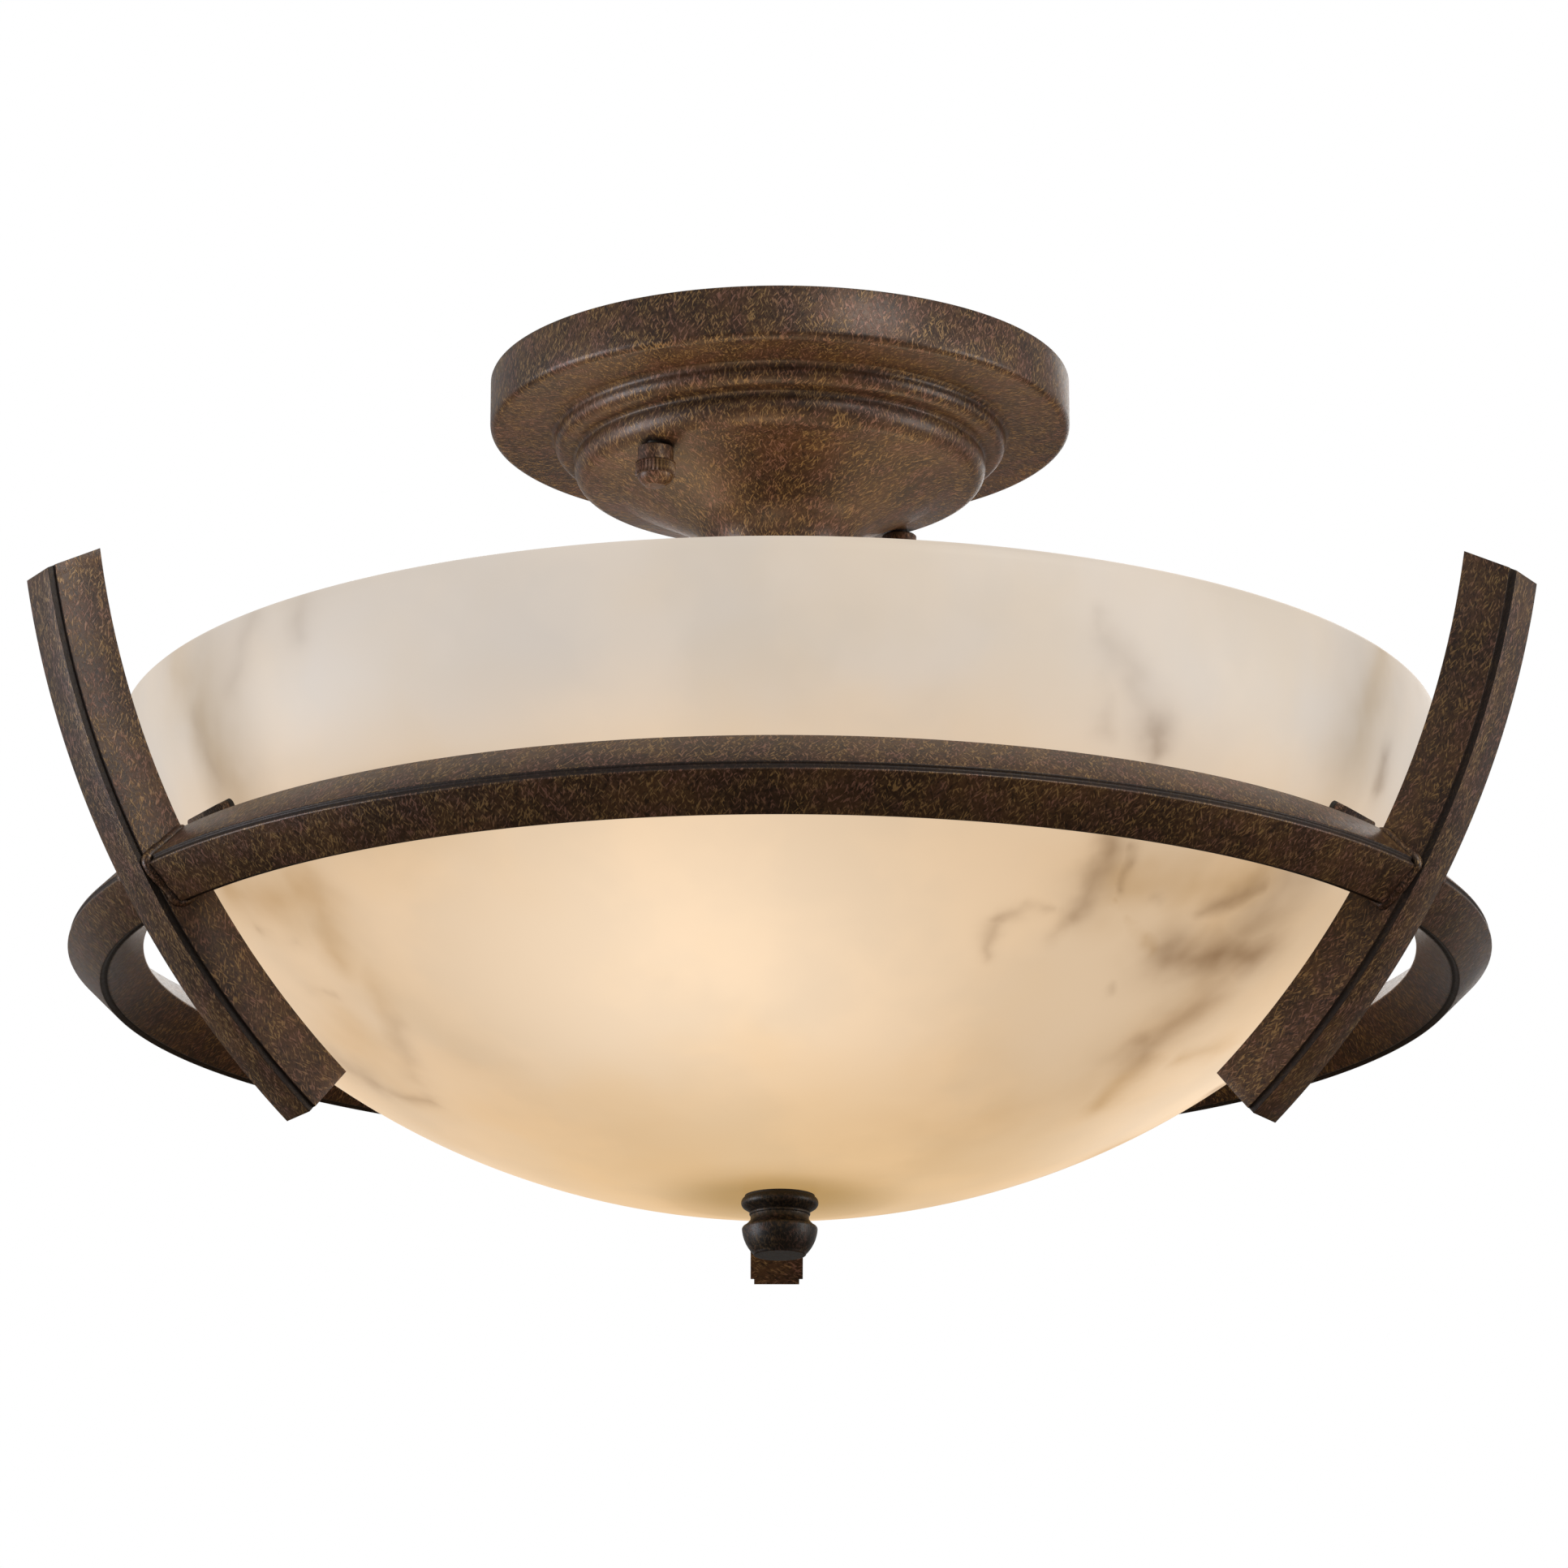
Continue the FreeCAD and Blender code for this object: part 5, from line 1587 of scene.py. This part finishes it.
# ------------------------------------------------------------------------------ bowl
@dataclass(frozen=True)
class BowlShape:
    """Outside of the bowl: a belly arc below and a side arc up to the rim."""

    rim: float = 156.2
    side_arc: float = 80.0
    belly_arc: float = 191.0
    widest: float = -92.0
    lip: float = 1.7
    flat: float = 26.0

    @property
    def side_centre(self) -> float:
        """Radius at which the side arc's centre lies."""
        return self.rim - self.side_arc

    @property
    def belly_centre(self) -> float:
        """Height of the belly arc's centre."""
        return self.widest + math.sqrt((self.belly_arc - self.side_arc) ** 2 - self.side_centre ** 2)

    @property
    def meet(self) -> float:
        """Angle from straight down at which the two arcs meet."""
        return math.asin(self.side_centre / (self.belly_arc - self.side_arc))

    def radius(self, height: float) -> float:
        """Radius of the outside at a height.

        Args:
            height: where on the outside.

        Returns:
            The radius there.
        """
        if height > self.belly_centre - self.belly_arc * math.cos(self.meet):
            return self.side_centre + math.sqrt(max(0.0, self.side_arc ** 2 - (height - self.widest) ** 2))
        return math.sqrt(max(0.0, self.belly_arc ** 2 - (height - self.belly_centre) ** 2))

    def point(self, heading: float, height: float) -> Vector:
        """Place on the outside, in metres."""
        return (along(heading) * self.radius(height) + Vector((0.0, 0.0, height))) * MM

    def skin(self, wall: float, steps: int) -> list[Point]:
        """Profile from the flat to the rim, drawn in by a wall.

        Args:
            wall: how far the skin lies inside the glass's outside.
            steps: how many pieces stand for each arc.

        Returns:
            Points in radius and height.
        """
        belly = self.belly_arc - wall
        side = self.side_arc - wall
        flat_z = self.belly_centre - math.sqrt(self.belly_arc ** 2 - self.flat ** 2) + wall
        start = math.acos((self.belly_centre - flat_z) / belly)
        rim = math.asin(self.lip / self.side_arc)
        points = []
        for step in range(steps + 1):
            angle = start + (self.meet - start) * step / steps
            points.append((belly * math.sin(angle), self.belly_centre - belly * math.cos(angle)))
        low = self.meet - math.pi / 2
        for step in range(1, steps + 1):
            angle = low + (rim - low) * step / steps
            points.append((self.side_centre + side * math.cos(angle), self.widest + side * math.sin(angle)))
        return points


@dataclass
class GlassBowl(SubAssembly):
    """The bowl and the washers on its hole."""

    wall: float = 4.0
    hole: float = 5.5
    steps: int = 256
    arc_steps: int = 34

    def build(self) -> None:
        """Turn the bowl with a rounded rim."""
        shape = BowlShape()
        outer = shape.skin(0.0, self.arc_steps)
        inner = shape.skin(self.wall, self.arc_steps)
        rim_out = outer[-1]
        rim_in = inner[-1]
        lip = ((rim_out[0] + rim_in[0]) / 2, rim_out[1] + 0.35 * self.wall)
        path = Outline((self.hole, outer[0][1])).line(*outer)
        path.arc(lip, rim_in, 8)
        path.line(*reversed(inner[:-1]))
        path.line((self.hole, inner[0][1]))
        bowl = Bench.turned("marbled_bowl", path, self.steps)
        Bench.smooth(bowl, 40.0)
        self.dress(bowl, GLASS, Body.BOWL, "bowl")
        self.keep(ZINC, "centre_rod", "stop_nut", "cup_washer", "clip_screws")
        self.keep(RUBBER, "soft_washer", "clip_grommets", "glass_pad_1", "glass_pad_2", "glass_pad_3")
        self.keep(FIBRE, "finial_washer")


@dataclass
class Finial(SubAssembly):
    """Turned knob under the bowl."""

    flange: float = 9.05
    waist: float = 6.85
    bulge: float = 8.85
    end: float = 6.2
    flange_height: float = 3.3
    waist_height: float = 2.3
    shoulder_height: float = 1.8
    body_height: float = 6.2
    bead: float = 0.45
    bore: float = 3.235
    bore_depth: float = 8.0

    def build(self) -> None:
        """Turn the knob from its flange down to its flat end."""
        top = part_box("finial")[1][2] / MM
        flange_end = top - self.flange_height
        waist_end = flange_end - self.waist_height
        bulge_z = waist_end - self.shoulder_height
        end_z = bulge_z - self.body_height
        lip = 0.45 * self.flange_height
        belly = (self.bulge + self.end) / 2 + 0.55
        path = Outline((0.0, end_z)).line((self.end - 0.5, end_z))
        path.arc((self.end - 0.1, end_z + 0.1), (self.end, end_z + 0.4), 3)
        path.arc((belly, (bulge_z + end_z) / 2), (self.bulge, bulge_z - 0.15), 12)
        path.arc((self.bulge - 0.05, bulge_z + 0.25), (self.bulge - 0.7, bulge_z + 0.75), 6)
        path.line((self.waist + 0.3, waist_end), (self.waist, waist_end + 0.4))
        path.line((self.waist, flange_end - 2.0 * self.bead))
        path.arc((self.waist + 0.3, flange_end - self.bead), (self.waist, flange_end), 6)
        path.line((self.flange - 0.7, top - 1.6 * lip))
        path.arc((self.flange, top - 0.8 * lip), (self.flange - 0.6, top), 8)
        path.line((self.bore, top), (self.bore, top - self.bore_depth), (0.0, top - self.bore_depth))
        knob = Bench.turned("turned_finial", path, 96, closed=False)
        Bench.smooth(knob, 45.0)
        Bench.grain(knob, path.points)
        # Painted shade: the finial takes the darkened bronze.
        self.dress(knob, BRONZE_SHADED, Body.FINIAL, "finial")


# ------------------------------------------------------------------------------ cage
@dataclass
class Cage(SubAssembly):
    """Three bent uprights, the ring between them, its welds and its clips."""

    bar: float = 13.2
    rabbet_width: float = 0.9
    rabbet_depth: float = 1.5
    edge: float = 0.45
    arm_arc: float = 201.8
    arm_lean: float = 30.3
    arm_up: float = 19.7
    arm_down: float = 19.4
    top_cut: float = 27.3
    top_spare: float = 6.0
    proud: float = 0.9
    ring_gap: float = 12.4
    ring_drop: float = 52.0
    ring_half_sweep: float = 62.0
    headings: tuple[float, ...] = (60.0, 180.0, 300.0)
    weld: float = 1.5
    weld_points: int = 64
    weld_corner: float = 0.93
    weld_sink: float = 0.2
    weld_wander: float = 0.25
    # Runs of the bar's section that form the rabbets; their faces are painted in shade.
    shaded_grooves: tuple[int, ...] = (2, 3, 5, 6)
    seed: int = 5

    @property
    def ring_z(self) -> float:
        """Height of the ring's middle."""
        return BowlShape().widest - self.ring_drop

    @property
    def half(self) -> float:
        """Half of the bar's diagonal."""
        return self.bar / math.sqrt(2.0)

    @property
    def ring_radius(self) -> float:
        """Radius of the ring's outermost corner."""
        return BowlShape().radius(self.ring_z) + self.ring_gap + 2.0 * self.half

    @property
    def arm_centre(self) -> Point:
        """Middle of the uprights' bend, in radius and height."""
        lean = math.radians(self.arm_lean)
        radius = self.ring_radius + self.proud - self.arm_arc * math.cos(lean)
        return (radius, self.ring_z + self.arm_arc * math.sin(lean))

    def section(self) -> list[Point]:
        """Bar across and outwards from its inner face, with a rabbet beside the outer face.

        Returns:
            Points across the bar and outwards.
        """
        half = self.bar / 2.0
        step = self.bar - self.rabbet_depth
        cap = half - self.rabbet_width
        return [(-half, 0.0), (half, 0.0), (half, step), (cap, step), (cap, self.bar), (-cap, self.bar),
                (-cap, step), (-half, step)]

    def upright(self, name: str) -> bpy.types.Object:
        """One bent bar along +X.

        Args:
            name: the bar's name.

        Returns:
            The bar, centred on +X.
        """
        centre_r, centre_z = self.arm_centre
        top = self.arm_lean - self.arm_up

        def spot(reach: float, across: float, degrees: float) -> Vector:
            """Place in the bend, from the bend's middle."""
            angle = math.radians(degrees)
            return Vector((centre_r + reach * math.cos(angle), across, centre_z - reach * math.sin(angle)))

        profile = [(self.arm_arc - self.bar + out, across) for across, out in self.section()]
        piece = Bench.loop(name, [spot(reach, across, top - self.top_spare) for reach, across in profile])
        span = self.arm_up + self.arm_down + self.top_spare
        spindle = Spindle((centre_r, 0.0, centre_z), upright=False)
        Bench.spun(piece, 56, span, spindle.centre, (0.0, 1.0, 0.0))
        lean = math.radians(self.top_cut)
        Bench.cut(piece, spot(self.arm_arc, 0.0, top), Vector((math.sin(lean), 0.0, math.cos(lean))))
        return self.bar_finish(piece, profile, spindle, along_spin=True)

    def bar_finish(self, piece: bpy.types.Object, profile: Sequence[Point], spindle: Spindle = Spindle(),
                   along_spin: bool = False) -> bpy.types.Object:
        """Ease a bar's edges and lay its brushed grain.

        Args:
            piece: the bar.
            profile: what was spun, in radius and height from the axis.
            spindle: the axis.
            along_spin: the hairs run along the bar.

        Returns:
            The bar.
        """
        Bench.eased(piece, self.edge, 3, 50.0)
        Bench.smooth(piece, 32.0)
        Bench.grain(piece, profile, spindle, along_spin, self.shaded_grooves)
        return piece

    def ring_length(self, name: str) -> bpy.types.Object:
        """One length of the ring, centred on +X.

        Args:
            name: the bar's name.

        Returns:
            The bar, centred on +X.
        """
        centre = self.ring_radius - self.half
        tilt = math.sqrt(0.5)
        start = math.radians(-self.ring_half_sweep)
        profile = []
        for across, out in self.section():
            middle = out - self.bar / 2.0
            profile.append((centre + tilt * (across + middle), self.ring_z + tilt * (across - middle)))
        piece = Bench.loop(name, [Vector((radius * math.cos(start), radius * math.sin(start), height))
                                  for radius, height in profile])
        Bench.spun(piece, 96, 2.0 * self.ring_half_sweep)
        for side in (-1.0, 1.0):
            arm = math.radians(60.0 * side)
            outward = Vector((-math.sin(arm), math.cos(arm), 0.0)) * side
            Bench.cut(piece, -outward * self.bar / 2.0, outward)
        return self.bar_finish(piece, profile)

    def weld_bead(self, name: str, side: float, draw: random.Random) -> bpy.types.Object:
        """Uneven bead round one end of a ring length, against the upright on +X.

        Args:
            name: the bead's name.
            side: which side of the upright, -1 or 1.
            draw: the random draw that all the beads share.

        Returns:
            The bead.
        """
        centre = self.ring_radius - self.half
        ends = ((1.0, 0.0), (0.0, 1.0), (-1.0, 0.0), (0.0, -1.0), (1.0, 0.0))
        path = []
        for step in range(self.weld_points):
            share = 4.0 * step / self.weld_points
            corner = int(share)
            out, up = Vector(ends[corner]).lerp(Vector(ends[corner + 1]), share - corner)
            squash = self.weld_corner / max(self.weld_corner, math.hypot(out, up))
            wander = draw.uniform(-self.weld_wander, self.weld_wander)
            reach = (self.half - self.weld_sink) * squash + wander
            path.append(Vector((centre + out * reach, side * self.bar / 2.0, self.ring_z + up * reach)))
        bead = Bench.loop(name, path)
        Bench.only(bead)
        bpy.ops.object.convert(target="CURVE")
        bead = bpy.context.active_object
        bead.data.bevel_depth = self.weld * MM
        bead.data.bevel_resolution = 3
        for spline in bead.data.splines:
            for point in spline.points:
                point.radius = draw.uniform(0.75, 1.15)
        bpy.ops.object.convert(target="MESH")
        bead = bpy.context.active_object
        bead.name = name
        Bench.only(bead)
        smoothing = bead.modifiers.new("settled", "SMOOTH")
        smoothing.iterations = 6
        bpy.ops.object.modifier_apply(modifier=smoothing.name)
        Bench.smooth(bead, 80.0)
        return bead

    def build(self) -> None:
        """Bend the uprights, set the ring between them and lay the welds."""
        draw = random.Random(self.seed)
        for number, heading in enumerate(self.headings, 1):
            piece = self.upright(f"upright_{number}")
            Bench.put(piece, Bench.at_heading(heading))
            self.dress(piece, BRONZE, Body.BOWL, f"arm_{number}")
            beads = [self.weld_bead(f"bead_{number}_{side:+.0f}", side, draw) for side in (-1.0, 1.0)]
            welds = Bench.joined(f"welds_{number}", beads)
            Bench.put(welds, Bench.at_heading(heading))
            self.dress(welds, BRONZE_PLAIN, Body.BOWL)
        names = {self.facing(f"ring_{number}"): f"ring_{number}" for number in (1, 2, 3)}
        for middle in (0.0, 120.0, 240.0):
            node = names[middle]
            piece = self.ring_length(f"{node}_length")
            Bench.put(piece, Bench.at_heading(middle))
            self.dress(piece, BRONZE, Body.BOWL, node)
        self.keep(BRONZE_PLAIN, "cage_clip_1", "cage_clip_2", "cage_clip_3")

    @staticmethod
    def facing(node: str) -> float:
        """Heading of a ring length's middle, to the nearest third of a turn.

        Args:
            node: the solid's name.

        Returns:
            The heading in degrees.
        """
        low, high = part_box(node)
        middle = Vector(((low[0] + high[0]) / 2, (low[1] + high[1]) / 2))
        heading = math.degrees(math.atan2(middle.x, -middle.y)) % 360.0
        return round(heading / 120.0) * 120.0 % 360.0


# ------------------------------------------------------------------------------ studio
@dataclass(frozen=True)
class Softbox:
    """Square area lamp that faces the middle of the light. Its place and size are in metres."""

    name: str
    place: tuple[float, float, float]
    size: float
    power: float
    colour: Colour
    target: tuple[float, float, float] = (0.0, 0.0, -0.11)

    def hang(self) -> None:
        """Put the lamp into the scene."""
        data = bpy.data.lights.new(self.name, "AREA")
        data.shape = "SQUARE"
        data.size = self.size
        data.energy = self.power
        data.color = self.colour[:3]
        lamp = bpy.data.objects.new(self.name, data)
        lamp.location = self.place
        lamp.rotation_euler = (Vector(self.target) - Vector(self.place)).to_track_quat("-Z", "Y").to_euler()
        bpy.context.scene.collection.objects.link(lamp)


@dataclass
class Studio:
    """Camera, lamps, backdrop and floor."""

    camera_place: tuple[float, float, float] = (-9.27, -1468.3, -520.0)
    camera_pitch: float = 15.95
    camera_turn: float = -0.4
    lens: float = 147.3
    softboxes: tuple[Softbox, ...] = (
        Softbox("left_softbox", (-2.25, -0.3, -0.4), 1.1, 30.0, tone(246, 248, 255)),
        Softbox("right_softbox", (1.2, -1.7, 0.9), 0.9, 22.0, tone(255, 248, 240)),
        Softbox("side_softbox", (2.3, -0.5, -0.2), 1.1, 20.0, tone(255, 250, 246)),
        Softbox("back_softbox", (0.3, 1.9, 0.8), 1.4, 12.0, tone(255, 252, 248)),
    )
    surround: float = 0.3
    glossy_share: float = 0.1
    floor_z: float = -3500.0
    floor_size: float = 30000.0
    floor_paint: Colour = tone(140, 122, 100)
    floor_seen: Colour = tone(238, 238, 238)
    floor_glow: float = 0.72

    def camera(self) -> None:
        """Set the camera at the photograph's place."""
        data = bpy.data.cameras.new("camera")
        data.lens = self.lens
        data.sensor_width = 36.0
        data.clip_end = 50.0
        camera = bpy.data.objects.new("camera", data)
        camera.location = Vector(self.camera_place) * MM
        pitch = math.radians(90.0 + self.camera_pitch)
        camera.rotation_euler = (pitch, 0.0, math.radians(self.camera_turn))
        bpy.context.scene.collection.objects.link(camera)
        bpy.context.scene.camera = camera

    def light(self) -> None:
        """Soft lamps at both sides and a pale surrounding."""
        for softbox in self.softboxes:
            softbox.hang()
        world = bpy.data.worlds.new("studio")
        bpy.context.scene.world = world
        world.use_nodes = True
        world.node_tree.nodes.clear()
        wiring = Wiring(world.node_tree)
        rays = wiring.node("ShaderNodeLightPath")
        seen = wiring.math("MAXIMUM", rays.outputs["Is Camera Ray"], rays.outputs["Is Transmission Ray"])
        glossy = wiring.math("MULTIPLY", rays.outputs["Is Glossy Ray"], self.glossy_share)
        seen = wiring.math("MAXIMUM", seen, glossy)
        surround = wiring.node("ShaderNodeBackground")
        surround.inputs["Color"].default_value = (1.0, 1.0, 1.0, 1.0)
        strength = wiring.math("MULTIPLY_ADD", seen, 1.0 - self.surround, self.surround)
        wiring.feed(surround.inputs["Strength"], strength)
        output = wiring.node("ShaderNodeOutputWorld")
        wiring.feed(output.inputs["Surface"], surround.outputs["Background"])

    def floor(self) -> None:
        """Pale floor far below, which keeps the shadow."""
        bpy.ops.object.select_all(action="DESELECT")
        bpy.ops.mesh.primitive_grid_add(x_subdivisions=2, y_subdivisions=2, size=self.floor_size * MM,
                                        location=(0.0, 0.0, self.floor_z * MM))
        ground = bpy.context.active_object
        ground.name = "floor"
        paint = bpy.data.materials.new("pale_floor")
        paint.use_nodes = True
        shader = paint.node_tree.nodes["Principled BSDF"]
        wiring = Wiring(paint.node_tree)
        seen = wiring.node("ShaderNodeLightPath").outputs["Is Camera Ray"]
        wiring.feed(shader.inputs["Base Color"], wiring.mix(seen, self.floor_paint, self.floor_seen))
        shader.inputs["Emission Color"].default_value = (1.0, 1.0, 1.0, 1.0)
        wiring.feed(shader.inputs["Emission Strength"], wiring.math("MULTIPLY", seen, self.floor_glow))
        shader.inputs["Roughness"].default_value = 0.9
        ground.data.materials.append(paint)

    def build(self) -> None:
        """Set up the picture."""
        self.camera()
        self.light()
        self.floor()
        bpy.context.scene.view_settings.view_transform = "Standard"


def main() -> None:
    """Build every sub-assembly and the studio."""
    logging.basicConfig(level=logging.INFO, format="%(message)s")
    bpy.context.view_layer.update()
    Studio().build()
    for part in (Canopy(), CanopyNuts(), StemAndHub(), LampCluster(), GlassBowl(), Finial(), Cage()):
        part.build()


if __name__ == "__main__":
    main()
